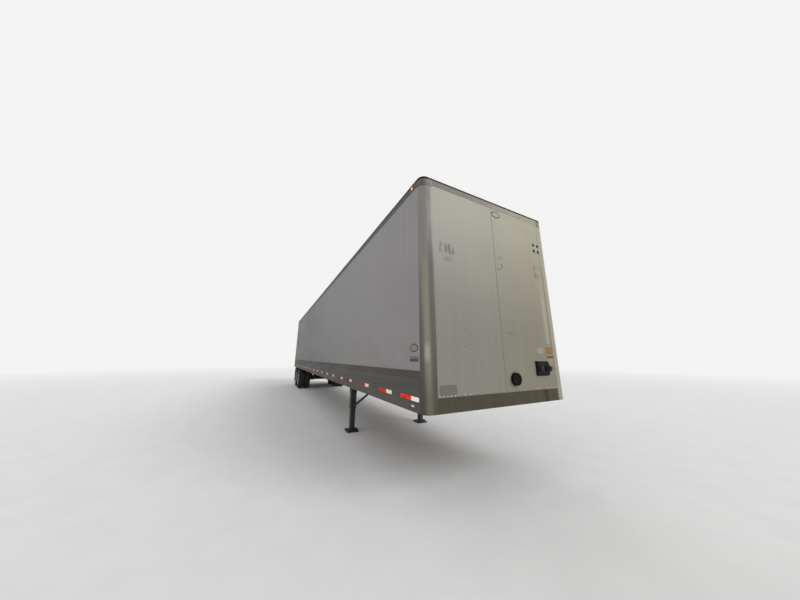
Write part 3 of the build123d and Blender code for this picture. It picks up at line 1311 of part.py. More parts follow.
# Wheel ends: a pair of tyres, and the two wheels clamped to their hub and drum
half_rim = RIM_WIDTH / 2
wheel_profile = (
    # distance from the centre line, radius
    (OUTER_TYRE_Y + half_rim, SEAT_RADIUS),
    (OUTER_TYRE_Y + half_rim, WALL_RADIUS),
    (DUAL_Y + DISC_SET + DISC_DISH, WALL_RADIUS),
    (DUAL_Y + DISC_SET, DISC_RADIUS),
    (DUAL_Y + DISC_SET, HUB_RADIUS),
    (HUB_END, HUB_RADIUS),
    (HUB_END, 0),
    (HUB_END - CAP_WALL, 0),
    (HUB_END - CAP_WALL, SPINDLE_RADIUS + TOUCH),
    (SPINDLE_START + DRUM_GAP + DRUM_DEPTH, SPINDLE_RADIUS + TOUCH),
    (SPINDLE_START + DRUM_GAP + DRUM_DEPTH, DRUM_RADIUS - DRUM_WALL),
    (SPINDLE_START + DRUM_GAP, DRUM_RADIUS - DRUM_WALL),
    (SPINDLE_START + DRUM_GAP, DRUM_RADIUS),
    (DUAL_Y - DISC_SET - DISC_DISH, DRUM_RADIUS),
    (DUAL_Y - DISC_SET - DISC_DISH, WALL_RADIUS),
    (INNER_TYRE_Y - half_rim, WALL_RADIUS),
    (INNER_TYRE_Y - half_rim, SEAT_RADIUS),
)
for end_name, axle in zip(("front", "rear"), AXLE_STATIONS):
    for side_name, side in SIDES:
        wheel_plane = Plane(origin=(station(axle), 0, TYRE_RADIUS), x_dir=(0, 1, 0), z_dir=(1, 0, 0))
        wheel_axis = Axis((station(axle), 0, TYRE_RADIUS), (0, 1, 0))
        with BuildPart() as tyres:
            for tyre_y in (OUTER_TYRE_Y, INNER_TYRE_Y):
                tyre_profile = (
                    # distance from the tyre's middle, radius
                    (-TREAD_WIDTH / 2, TYRE_RADIUS),
                    (TREAD_WIDTH / 2, TYRE_RADIUS),
                    (TYRE_WIDTH / 2, TYRE_RADIUS - SHOULDER),
                    (TYRE_WIDTH / 2, SEAT_RADIUS + TOUCH),
                    (-TYRE_WIDTH / 2, SEAT_RADIUS + TOUCH),
                    (-TYRE_WIDTH / 2, TYRE_RADIUS - SHOULDER),
                )
                with BuildSketch(wheel_plane):
                    with BuildLine():
                        Polyline([(side * (tyre_y + y), r) for y, r in tyre_profile], close=True)
                    make_face()
                revolve(axis=wheel_axis)
        tyres.part.label = f"tyres_{side_name}_{end_name}"
        export_step(tyres.part, f"parts/tyres_{side_name}_{end_name}.step")

        with BuildPart() as wheel:
            with BuildSketch(wheel_plane):
                with BuildLine():
                    Polyline([(side * y, r) for y, r in wheel_profile], close=True)
                make_face()
            revolve(axis=wheel_axis)
        wheel.part.label = f"wheel_{side_name}_{end_name}"
        export_step(wheel.part, f"parts/wheel_{side_name}_{end_name}.step")

# Rear underride guard: a bar on two posts, with gussets that spread each post's load in the sill
guard_x = station(GUARD_STATION)
with BuildPart() as underride_guard:
    with BuildSketch(Plane.XZ):
        with Locations((guard_x, GUARD_BAR_TOP)):
            Rectangle(GUARD_BAR, GUARD_BAR, align=(Align.CENTER, Align.MAX))
    extrude(amount=GUARD_HALF, both=True)
    with BuildSketch(Plane.XY.offset(GUARD_BAR_TOP - WELD)):
        for side_name, side in SIDES:
            with Locations((guard_x, side * GUARD_POST_Y)):
                Rectangle(GUARD_POST, GUARD_POST)
    extrude(amount=FRAME_BOTTOM - GUARD_BAR_TOP + WELD)
    with BuildSketch(Plane.YZ.offset(guard_x - GUARD_GUSSET_THICK / 2)):
        for side_name, side in SIDES:
            for way in (-1, 1):
                gusset_root = side * GUARD_POST_Y + way * (GUARD_POST / 2 - WELD)
                with BuildLine():
                    Polyline(
                        [
                            (gusset_root, FRAME_BOTTOM),
                            (gusset_root + way * GUARD_GUSSET, FRAME_BOTTOM),
                            (gusset_root + way * GUARD_GUSSET_LOW, GUARD_BAR_TOP),
                            (gusset_root, GUARD_BAR_TOP),
                        ],
                        close=True,
                    )
                make_face()
    extrude(amount=GUARD_GUSSET_THICK)
underride_guard.part.label = "underride_guard"
export_step(underride_guard.part, "parts/underride_guard.step")

# Dock bumpers on the sill
with BuildPart() as dock_bumpers:
    with BuildSketch(Plane.YZ.offset(rear_x)):
        for side_name, side in SIDES:
            with Locations((side * BUMPER_Y, BUMPER_Z)):
                RectangleRounded(BUMPER_WIDTH, BUMPER_HEIGHT, BUMPER_CORNER)
    extrude(amount=-BUMPER_REACH)
dock_bumpers.part.label = "dock_bumpers"
export_step(dock_bumpers.part, "parts/dock_bumpers.step")

# Nose box: a plate with two gladhands and the seven-way socket between them
box_x = station(FRONT_RECESS)
with BuildPart() as nose_box:
    with BuildSketch(Plane.YZ.offset(box_x)):
        with Locations((NOSE_BOX_Y, NOSE_BOX_Z)):
            RectangleRounded(NOSE_BOX_WIDTH, NOSE_BOX_HEIGHT, NOSE_BOX_CORNER)
    extrude(amount=NOSE_BOX_DEPTH)
    socket_top = NOSE_BOX_REACH + FRONT_RECESS
    with BuildSketch(Plane.YZ.offset(box_x + NOSE_BOX_DEPTH - WELD)):
        with Locations((NOSE_BOX_Y, NOSE_BOX_Z)):
            Circle(SOCKET_RADIUS)
        for offset_y in (-COUPLING_SPREAD, COUPLING_SPREAD):
            with Locations((NOSE_BOX_Y + offset_y, NOSE_BOX_Z)):
                RectangleRounded(COUPLING_WIDTH, COUPLING_HEIGHT, COUPLING_CORNER)
    extrude(amount=socket_top - NOSE_BOX_DEPTH + WELD)
nose_box.part.label = "nose_box"
export_step(nose_box.part, "parts/nose_box.step")

# Document holder: a round canister on the nose
with BuildPart() as document_holder:
    with BuildSketch(Plane.YZ.offset(box_x)):
        with Locations((HOLDER_Y, HOLDER_Z)):
            Circle(HOLDER_RADIUS)
    extrude(amount=HOLDER_REACH)
    chamfer(document_holder.edges().filter_by(GeomType.CIRCLE).sort_by(Axis.X)[-1], HOLDER_BEVEL)
document_holder.part.label = "document_holder"
export_step(document_holder.part, "parts/document_holder.step")

# Lamps: each is a lens standing on its rail, oblong ones for markers and round ones for stop lamps
top_lamp_z = (TOP_RAIL_BOTTOM + TRIM_BOTTOM) / 2
low_lamp_z = RAIL_UNDERSIDE + LOW_LAMP_RISE
side_lamps = (
    # colour, station, height, length, height of the lens, depth
    ("amber", TOP_LAMP_STATION, top_lamp_z, 66.0, 36.0, 16.0),
    ("amber", LOW_LAMP_STATION, low_lamp_z, 66.0, 26.0, LAMP_DEPTH),
    ("red", REAR_FACE - LOW_LAMP_STATION, low_lamp_z, 66.0, 26.0, LAMP_DEPTH),
)
HEADER_LAMP_PITCH = 180.0
HEADER_LAMP_LENGTH = 90.0
HEADER_LAMP_HEIGHT = 34.0
header_lamp_places = (0, HEADER_LAMP_PITCH, HALF - REAR_LAMP_INSET)
for colour in ("amber", "red"):
    with BuildPart() as lamps:
        for lamp_colour, lamp_station, lamp_z, lamp_length, lamp_height, lamp_depth in side_lamps:
            if lamp_colour == colour:
                for side_name, side in SIDES:
                    with BuildSketch(Plane.XZ.offset(-side * HALF)):
                        with Locations((station(lamp_station), lamp_z)):
                            RectangleRounded(lamp_length, lamp_height, SIDE_LAMP_CORNER)
                    extrude(amount=-side * lamp_depth)
        if colour == "amber":
            for side_name, side in SIDES:
                with BuildSketch(Plane.XZ.offset(-side * (HALF - MID_LAMP_INSET))):
                    with Locations((station(LENGTH / 2 - MID_LAMP_SHIFT), RAIL_UNDERSIDE)):
                        Rectangle(MID_LAMP_LENGTH, MID_LAMP_DROP, align=(Align.CENTER, Align.MAX))
                extrude(amount=-side * MID_LAMP_DEPTH)
        if colour == "red":
            with BuildSketch(Plane.YZ.offset(rear_x)):
                for lamp_y in sorted({way * place for place in header_lamp_places for way in (-1, 1)}):
                    with Locations((lamp_y, HEIGHT - REAR_LAMP_DROP)):
                        RectangleRounded(HEADER_LAMP_LENGTH, HEADER_LAMP_HEIGHT, REAR_LAMP_CORNER)
                for lamp_y in [way * place for place in STOP_LAMP_PLACES for way in (-1, 1)]:
                    with Locations((lamp_y, FRAME_BOTTOM + STOP_LAMP_RISE)):
                        Circle(STOP_LAMP_RADIUS)
            extrude(amount=-LAMP_DEPTH)
    lamps.part.label = f"{colour}_lamps"
    export_step(lamps.part, f"parts/{colour}_lamps.step")
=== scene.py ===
import logging
import math
from collections.abc import Callable, Sequence
from dataclasses import dataclass, field
from enum import Enum, IntEnum
from functools import cached_property

import bmesh
import bpy
from mathutils import Matrix, Vector


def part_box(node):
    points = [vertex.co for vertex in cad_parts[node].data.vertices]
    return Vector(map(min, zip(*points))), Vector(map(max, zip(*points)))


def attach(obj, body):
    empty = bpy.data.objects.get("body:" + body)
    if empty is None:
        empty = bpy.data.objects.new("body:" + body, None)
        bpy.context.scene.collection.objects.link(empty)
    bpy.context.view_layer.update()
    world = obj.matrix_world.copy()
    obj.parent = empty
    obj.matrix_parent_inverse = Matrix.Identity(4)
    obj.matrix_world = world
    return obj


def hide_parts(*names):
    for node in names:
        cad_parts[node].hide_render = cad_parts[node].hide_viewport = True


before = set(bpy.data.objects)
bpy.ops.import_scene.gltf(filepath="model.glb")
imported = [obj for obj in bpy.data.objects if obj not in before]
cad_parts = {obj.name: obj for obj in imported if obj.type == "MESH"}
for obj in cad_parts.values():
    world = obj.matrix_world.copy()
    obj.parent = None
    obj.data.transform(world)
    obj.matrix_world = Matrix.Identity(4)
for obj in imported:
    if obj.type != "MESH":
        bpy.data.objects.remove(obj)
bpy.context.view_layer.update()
LOG = logging.getLogger("dry_van")

Point = tuple[float, float, float]
Colour = tuple[float, float, float]
Pair = tuple[float, float]
Inputs = dict[int | str, object]

AHEAD, BACK = Vector((1.0, 0.0, 0.0)), Vector((-1.0, 0.0, 0.0))
LEFT, UP, DOWN = Vector((0.0, 1.0, 0.0)), Vector((0.0, 0.0, 1.0)), Vector((0.0, 0.0, -1.0))


class Side(IntEnum):
    """The two sides of the trailer, with the sign of their Y."""

    LEFT = 1
    RIGHT = -1

    @property
    def word(self) -> str:
        """The side's name, as the nodes spell it."""
        return self.name.lower()

    @property
    def out(self) -> Vector:
        """The direction out of that side's wall."""
        return Vector((0.0, self.value, 0.0))


class Noise(Enum):
    """Grain sizes of the surface noise, in cycles a metre."""

    BROAD = 0.45
    SHADE = 0.5
    PATCHY = 2.2
    MOTTLED = 9.0
    TORN = 24.0
    FINE = 60.0
    WOOD = 90.0
    GRAIN = 260.0


BROAD, SHADE, PATCHY, MOTTLED, TORN, FINE, WOOD, GRAIN = Noise


def operator(operation: str, swapped: bool = False) -> "Callable[[Socket, Socket | float], Socket]":
    """Makes one of Socket's operators.

    Args:
        operation: the Math node's operation.
        swapped: whether the other number comes first, as in a reflected operator.

    Returns:
        The method, which adds that node.
    """

    def method(self: "Socket", other: "Socket | float" = 0.0) -> "Socket":
        """The result of the two numbers."""
        first, second = (other, self) if swapped else (self, other)
        return self.shader.node("ShaderNodeMath", {"operation": operation}, {0: first, 1: second})

    return method


class Socket:
    """A node's output, or a sum worked out from several, that Python operators extend with Math nodes."""

    __add__ = __radd__ = operator("ADD")
    __mul__ = __rmul__ = operator("MULTIPLY")
    __sub__ = operator("SUBTRACT")
    __rsub__ = operator("SUBTRACT", swapped=True)
    __pow__ = operator("POWER")
    __mod__ = operator("FLOORED_MODULO")
    __abs__ = operator("ABSOLUTE")
    at_most = operator("MINIMUM")
    at_least = operator("MAXIMUM")

    def __init__(self, shader: "Shader", link: bpy.types.NodeSocket) -> None:
        """Wraps one output socket of a shader's tree."""
        self.shader = shader
        self.link = link

    def ramp(self, low: float, high: float) -> "Socket":
        """A smooth step.

        Args:
            low: where the result is 0.
            high: where the result is 1. It may be the smaller of the two.

        Returns:
            A mask from 0 to 1.
        """
        if low > high:
            return 1.0 - self.ramp(high, low)
        settings = {"interpolation_type": "SMOOTHSTEP"}
        return self.shader.node("ShaderNodeMapRange", settings, {"Value": self, 1: low, 2: high})

    def near(self, middle: float, half: float, soft: float) -> "Socket":
        """A mask that is 1 within half of middle and fades over soft."""
        return abs(self - middle).ramp(half + soft, half)


class Shader:
    """The node tree of one material or world."""

    def __init__(self, name: str, world: bpy.types.World | None = None) -> None:
        """Empties the tree of the world, or of a new material."""
        self.owner = world or bpy.data.materials.new(name)
        self.owner.use_nodes = True
        self.tree = self.owner.node_tree
        self.tree.nodes.clear()

    @cached_property
    def place(self) -> Socket:
        """The surface's place on the object."""
        return self.node("ShaderNodeTexCoord", {}, {}, "Object")

    @cached_property
    def x(self) -> Socket:
        """How far ahead the surface is."""
        return self.part(0)

    @cached_property
    def y(self) -> Socket:
        """How far to the left the surface is."""
        return self.part(1)

    @cached_property
    def z(self) -> Socket:
        """The surface's height."""
        return self.part(2)

    def part(self, number: int) -> Socket:
        """One coordinate of the surface's place, in metres."""
        return self.node("ShaderNodeSeparateXYZ", {}, {0: self.place}, number)

    def make(self, kind: str, settings: dict[str, object], inputs: Inputs) -> bpy.types.Node:
        """Makes any node.

        Args:
            kind: the node's type.
            settings: what is set on the node itself, before its sockets.
            inputs: values or links by the socket's name or number.

        Returns:
            The node.
        """
        made = self.tree.nodes.new(kind)
        for key, value in settings.items():
            setattr(made, key, value)
        for key, value in inputs.items():
            socket = made.inputs[key]
            if isinstance(value, Socket):
                self.tree.links.new(value.link, socket)
            else:
                socket.default_value = (*value, 1.0) if socket.type == "RGBA" else value
        return made

    def node(self, kind: str, settings: dict[str, object], inputs: Inputs, out: int | str = 0) -> Socket:
        """Makes any node and returns the output that is wanted."""
        return Socket(self, self.make(kind, settings, inputs).outputs[out])

    def vectors(self, operation: str, first: Socket, second: Socket | Point) -> Socket:
        """A Vector Math node on two vectors."""
        return self.node("ShaderNodeVectorMath", {"operation": operation}, {0: first, 1: second})

    def noise(self, size: Noise, stretch: Point = (1, 1, 1), detail: float = 3.0) -> Socket:
        """Cloudy noise, stretch times finer along each axis, mostly between 0.3 and 0.7."""
        place = self.vectors("MULTIPLY", self.place, stretch)
        return self.node("ShaderNodeTexNoise", {}, {"Vector": place, "Scale": size.value, "Detail": detail})

    def cloud(self) -> Socket:
        """A mask of slow patches, the same in many finishes."""
        return self.noise(PATCHY).ramp(0.3, 0.7)

    def specks(self, size: float, outer: float, inner: float, where: Pair) -> Socket:
        """A mask of chips or spatter, full within inner of a point and gone at outer, where patchy noise is high."""
        apart = self.node("ShaderNodeTexVoronoi", {}, {"Vector": self.place, "Scale": size})
        return apart.ramp(outer, inner) * self.noise(PATCHY).ramp(*where)

    def mix(self, mask: Socket | float, first: Socket | Colour, second: Socket | Colour) -> Socket:
        """The blend of two colours, the first where mask is 0 and the second where it is 1."""
        return self.node("ShaderNodeMix", {"data_type": "RGBA"}, {0: mask, 6: first, 7: second}, 2)

    def bump(self, height: Socket, depth: float) -> Socket:
        """A bumped normal, depth in metres."""
        return self.node("ShaderNodeBump", {}, {"Height": height, "Distance": depth})

    def ray(self, *kinds: str) -> Socket:
        """A mask of the rays of any of these kinds."""
        first, *others = [self.node("ShaderNodeLightPath", {}, {}, f"Is {kind} Ray") for kind in kinds]
        for other in others:
            first = first.at_least(other)
        return first

    def close(self, surface: Socket, kind: str = "Material") -> bpy.types.ID:
        """Links a closed surface to the output and returns what the tree belongs to."""
        self.make(f"ShaderNodeOutput{kind}", {}, {0: surface})
        return self.owner


@dataclass(frozen=True)
class Finish:
    """A surface that ages: a colour with blotches, dust, streaks and a fine bump."""

    name: str
    colour: Colour
    slot: str
    rough: float = 0.5
    metal: float = 0.0
    coat: float = 0.0
    gloss: float = 0.3
    dust: float = 0.25
    dirt: Colour = (0.2, 0.18, 0.145)
    bump_depth: float = 0.0004

    @cached_property
    def material(self) -> bpy.types.Material:
        """The finish's material, made when it is first worn."""
        s = Shader(self.name)
        same = {"Metallic": self.metal, "Specular IOR Level": self.gloss, "Coat Weight": self.coat}
        return s.close(s.node("ShaderNodeBsdfPrincipled", {}, {**same, "Coat Roughness": 0.15, **self.inputs(s)}))

    def inputs(self, s: Shader) -> Inputs:
        """Works out what changes over the surface.

        Args:
            s: the material's shader.

        Returns:
            The surface shader's inputs.
        """
        cloud = s.noise(PATCHY)
        fine = s.noise(FINE)
        tint = s.mix(cloud.ramp(0.35, 0.7), self.shade(0.93), self.shade(1.05))
        dusty = (s.noise(MOTTLED) * fine * 4.0).ramp(0.6, 1.5) * self.dust
        return {
            "Base Color": s.mix(dusty, tint, self.dirt),
            "Roughness": self.rough + (cloud - 0.5) * 0.25 + dusty * 0.4,
            "Metallic": self.metal * (1.0 - dusty),
            "Normal": s.bump(fine, self.bump_depth),
        }

    def shade(self, factor: float) -> Colour:
        """The finish's colour, darker or lighter."""
        return tuple(part * factor for part in self.colour)


@dataclass(frozen=True)
class SideSkin(Finish):
    """Smooth prefinished plates: a slow wave, faint rain streaks, film and rubbed marks low down, and painted dark
    reflections that darken them towards the rear and in a soft patch higher up.
    """

    film_top: float = 2.3
    # how strongly the painted dark reflection darkens the plates towards the rear
    rear: float = 0.66

    def inputs(self, s: Shader) -> Inputs:
        """See Finish.inputs."""
        wave = s.noise(BROAD, (1, 1, 0.6), 1.0)
        streak = s.noise(MOTTLED, (1.6, 1.6, 0.06)).ramp(0.46, 0.72)
        cloud = s.noise(PATCHY, (0.3, 0.3, 0.5)).ramp(0.35, 0.68)
        film = s.z.ramp(self.film_top, 1.4) * s.noise(PATCHY, (1, 1, 1.6), 5.0).ramp(0.35, 0.8)
        rub = s.noise(PATCHY, (0.7, 0.7, 1.5), 5.0).ramp(0.55, 0.68) * s.x.ramp(-4.6, -7.2) * s.z.ramp(2.7, 2.2)
        # painted dark reflection: the plates grow darker towards the rear
        rear = s.x.ramp(8.5, -2.0) * self.rear
        # painted dark reflection: a soft darker patch higher up, behind the middle
        shade = s.noise(SHADE, (1, 1, 1.3), 2.0).ramp(0.4, 0.62) * s.x.ramp(2.5, -3.0) * s.z.ramp(1.9, 2.9)
        clean = s.mix(cloud, self.shade(0.96), self.shade(1.03))
        streaked_and_shaded = s.mix(streak * 0.1 + rear + shade * 0.18, clean, self.shade(0.5))
        filmed = s.mix(film * 0.22, streaked_and_shaded, self.dirt)
        return {
            "Base Color": s.mix(rub * 0.35, filmed, self.shade(1.1)),
            "Roughness": self.rough + cloud * 0.06 + film * 0.15,
            "Normal": s.bump(wave * 6.0 + s.noise(FINE) * 0.02, 0.003),
        }


@dataclass(frozen=True)
class NoseSkin(Finish):
    """Riveted sheet on the nose: warm white, darker lower down as painted shade, with a painted highlight near the left
    post and old rubbed marks.
    """

    scuffs: tuple[tuple[float, ...], ...] = ()
    # how far left the painted highlight streak runs down the sheet
    painted_sheen: float = 1.04

    def inputs(self, s: Shader) -> Inputs:
        """See Finish.inputs."""
        streak = s.noise(MOTTLED, (2.0, 2.0, 0.05)).ramp(0.44, 0.7)
        cloud = s.noise(PATCHY, (0.5, 0.5, 0.5)).ramp(0.3, 0.7)
        # painted shade: the sheet is darker lower down, with faint streaks
        low = s.z.ramp(3.9, 1.9)
        painted_sheen = s.y.near(self.painted_sheen, 0.015, 0.07) * s.z.ramp(3.3, 2.4) * s.z.ramp(1.5, 2.1)
        clean = s.mix(cloud, self.shade(0.96), self.shade(1.04))
        streaks_and_low_shade = s.mix(low * 0.74 + streak * 0.05, clean, self.shade(0.5))
        warm = s.vectors("MULTIPLY", streaks_and_low_shade, s.mix(s.y.ramp(-0.5, 0.9), (1, 1, 1), (1.0, 0.98, 0.85)))
        # painted highlight: a warm light streak down the sheet near the left post
        rubbed = s.mix(painted_sheen * 0.45, warm, (0.5, 0.46, 0.36))
        spotted = s.mix(s.specks(34.0, 0.14, 0.05, (0.52, 0.7)) * 0.35, rubbed, (0.07, 0.055, 0.04))
        return {
            "Base Color": s.mix(self.smears(s), spotted, (0.13, 0.115, 0.12)),
            "Roughness": self.rough + cloud * 0.1 + low * 0.1,
            "Normal": s.bump(s.noise(BROAD, (1.0, 1.3, 1.3), 1.0) * 5.0, 0.003),
        }

    def smears(self, s: Shader) -> Socket:
        """Soft rubbed marks at the scuffs' places.

        Args:
            s: the shader they are made in.

        Returns:
            A mask of all of them.
        """
        total: Socket | float = 0.0
        for y, z, half_width, half_height, strength in self.scuffs:
            patch = s.y.near(y, half_width * 0.7, half_width * 0.3)
            total = patch * s.z.near(z, half_height * 0.7, half_height * 0.3) * strength + total
        return (total * s.noise(TORN, (1, 1, 0.3), 2.0).ramp(0.46, 0.6)).at_most(1.0)


@dataclass(frozen=True)
class LowerRail(Finish):
    """Dull dark extrusion along the bottom of the side: road film, long scratches and dried runs."""

    crease: float = 1.434

    def inputs(self, s: Shader) -> Inputs:
        """See Finish.inputs."""
        drag = s.noise(MOTTLED, (0.12, 1.0, 2.4)).ramp(0.35, 0.7)
        run = s.noise(MOTTLED, (1.7, 1.7, 0.1)).ramp(0.5, 0.74)
        film = s.noise(PATCHY, (0.5, 1.0, 1.6)).ramp(0.3, 0.72)
        clean = s.mix(drag, self.shade(0.92), self.shade(1.08))
        banded = s.mix(s.z.ramp(self.crease, self.crease + 0.004), clean, self.shade(0.84))
        dusty = (film * 0.3 + run * 0.15 + s.z.ramp(1.2, 1.08) * 0.25).at_most(0.7)
        return {
            "Base Color": s.mix(dusty * self.dust, banded, self.dirt),
            "Roughness": self.rough + film * 0.12,
            "Normal": s.bump(drag * 0.6 + s.noise(FINE) * 0.5, self.bump_depth),
        }


@dataclass(frozen=True)
class Extrusion(Finish):
    """Mill aluminium, drawn along one axis and darkened by oxide and road grime."""

    along: Point = (1, 1, 0.05)
    grime: float = 0.3
    runs: tuple[Pair, ...] = ()
    left_end: Colour | None = None

    def inputs(self, s: Shader) -> Inputs:
        """See Finish.inputs."""
        drawn = s.noise(FINE, self.along)
        cloud = s.noise(PATCHY, self.along).ramp(0.3, 0.7)
        oxide = s.noise(MOTTLED, (1, 1, 0.5)).ramp(0.4, 0.75)
        drip = s.noise(MOTTLED, (2.0, 2.0, 0.08)).ramp(0.45, 0.72)
        colour = s.mix(cloud, self.shade(0.95), self.shade(1.06))
        if self.left_end:
            colour = s.mix(s.y.ramp(-1.0, 0.9), colour, self.left_end)
        colour = s.mix((oxide * 0.5 + drip * 0.5) * self.grime, colour, self.dirt)
        for y, half in self.runs:
            stain = s.y.near(y, half * 0.5, half)
            colour = s.mix(stain * drip * 0.5 + stain * 0.4, colour, (0.03, 0.022, 0.016))
        return {
            "Base Color": self.worn(s, colour),
            "Roughness": self.rough + (drawn - 0.5) * 0.3 + oxide * 0.12,
            "Metallic": self.metal * (1.0 - oxide * self.grime),
            "Normal": s.bump(drawn, self.bump_depth),
        }

    def worn(self, s: Shader, colour: Socket) -> Socket:
        """The colour with the piece's own wear, which is none here."""
        return colour


@dataclass(frozen=True)
class CornerPost(Extrusion):
    """Round corner post: painted highlights down its curve, a painted dark reflection beside its nose face, dark in its
    joints, with a band of its own at the top.
    """

    nose: float = 8.0345
    inner: float = 1.1225
    band: float = 3.98

    def worn(self, s: Shader, colour: Socket) -> Socket:
        """The colour darker towards the foot, partly road film and partly painted shade; a leaning streak of painted
        highlight and a bright painted highlight lower down; a painted dark reflection beside the nose face; the left
        post lighter as a painted reflection; and the band, as painted light.
        """
        around = self.nose - s.x + abs(s.y) - self.inner
        left = s.y.ramp(0.0, 0.5)
        right = 1.0 - left
        # darker towards the foot: partly road film, partly painted shade
        film = s.z.ramp(3.5, 0.8) * (1.0 - left * 0.85)
        # painted dark reflection beside the nose face, around mid height
        painted_dark_reflection = around.near(0.057, 0.012, 0.045) * s.z.near(2.6, 0.1, 0.95) * right * 0.46
        joint = around.ramp(0.246, 0.272) * s.z.ramp(3.2, 2.5) * 0.4
        # painted highlight: a streak that leans down the curve
        leaning = (around - (s.z - 1.6) * 0.024).near(0.131, 0.015, 0.068)
        painted_highlight_stripe = leaning * s.z.ramp(3.1, 2.75) * (s.z.ramp(1.2, 1.7) * 0.5 + 0.38) * right
        # painted highlight: a bright patch low on the curve
        painted_highlight_spot = around.near(0.14, 0.006, 0.06) * s.z.near(1.75, 0.03, 0.12) * right * 0.85
        edge = around.ramp(0.05, 0.01) * s.z.ramp(2.7, 3.2) * 0.8
        # painted reflection: the left post lighter and warmer all over; the inner edge lighter up high
        clean = s.mix(left * 0.9, s.mix(edge, colour, (0.37, 0.355, 0.32)), (0.42, 0.385, 0.305))
        filmed = s.mix(film, clean, (0.081, 0.074, 0.06))
        dark = s.mix((painted_dark_reflection + joint).at_most(0.8), filmed, (0.055, 0.05, 0.04))
        highlight_striped = s.mix(painted_highlight_stripe, dark, (0.262, 0.248, 0.197))
        bright = s.mix(painted_highlight_spot, highlight_striped, (0.4, 0.37, 0.315))
        # painted light: the band darker where it faces the side and lighter where it faces ahead, on the left post and
        # along the inner edge
        turned = s.mix(around.ramp(0.18, 0.05), (0.118, 0.116, 0.12), (0.18, 0.172, 0.158))
        cap = s.mix(around.ramp(0.03, 0.026).at_least(left), turned, (0.25, 0.238, 0.208))
        banded = s.mix(s.z.ramp(self.band, self.band + 0.002), bright, cap)
        lines = s.z.near(self.band + 0.001, 0.004, 0.003) + around.near(0.032, 0.003, 0.003) * s.z.ramp(3.99, 4.0)
        return s.mix(lines.at_most(1.0) * 0.6, banded, (0.05, 0.047, 0.045))


@dataclass(frozen=True)
class ChassisSteel(Finish):
    """Black chassis paint under dust and mud, with rust where stones have chipped it."""

    rust: float = 0.35

    def inputs(self, s: Shader) -> Inputs:
        """See Finish.inputs."""
        chip = s.specks(48.0, 0.26, 0.12, (0.48, 0.62))
        mud = s.noise(MOTTLED, (1, 1, 1), 5.0).ramp(0.42, 0.72)
        dusty = s.mix(mud * self.dust, s.mix(s.cloud(), self.shade(0.8), self.shade(1.25)), self.dirt)
        return {
            "Base Color": s.mix(chip * self.rust, dusty, (0.16, 0.062, 0.026)),
            "Roughness": self.rough + mud * 0.3,
            "Normal": s.bump(mud * 0.6 + s.noise(FINE) * 0.4 - chip * 0.5, self.bump_depth),
        }


@dataclass(frozen=True)
class Planks(Finish):
    """Laminated hardwood boards laid lengthwise, scuffed and stained by loading."""

    strip: Point = (1.22, 0.034, 1.0)

    def inputs(self, s: Shader) -> Inputs:
        """See Finish.inputs."""
        place = s.vectors("SNAP", s.place, self.strip)
        strip = s.node("ShaderNodeTexNoise", {}, {"Vector": place, "Scale": 1.0, "Detail": 0.0})
        grain = s.noise(WOOD, (0.04, 1.0, 1.0), 5.0)
        stain = s.noise(PATCHY, (0.5, 1.0, 1.0), 5.0).ramp(0.45, 0.75)
        scuff = s.noise(MOTTLED, (0.25, 2.5, 1.0)).ramp(0.56, 0.72)
        wood = s.mix(strip.ramp(0.3, 0.7), self.shade(0.72), self.shade(1.25))
        grained = s.mix(grain.ramp(0.4, 0.65) * 0.45, wood, self.shade(0.42))
        worn = s.mix(scuff * 0.35, grained, (0.36, 0.31, 0.25))
        return {
            "Base Color": s.mix(stain * 0.4, worn, (0.06, 0.045, 0.035)),
            "Roughness": self.rough + grain * 0.2,
            "Normal": s.bump(grain, self.bump_depth),
        }


@dataclass(frozen=True)
class Rubber(Finish):
    """Tyre and flap rubber: charcoal, with brown dust in its low places and a faint bloom."""

    def inputs(self, s: Shader) -> Inputs:
        """See Finish.inputs."""
        mud = self.mud(s)
        return {
            "Base Color": s.mix(mud * self.dust, self.bloom(s), self.dirt),
            "Roughness": self.rough + mud * 0.15,
            "Normal": s.bump(s.noise(GRAIN) * 0.6 + mud * 0.4, self.bump_depth),
        }

    def mud(self, s: Shader) -> Socket:
        """A mask of the dusty low places."""
        return s.noise(MOTTLED, (1.5, 1.5, 1.5), 6.0).ramp(0.38, 0.8) * s.noise(FINE).ramp(0.3, 0.6)

    def bloom(self, s: Shader) -> Socket:
        """The rubber's own colour, slightly uneven."""
        return s.mix(s.cloud(), self.shade(0.88), self.shade(1.15))


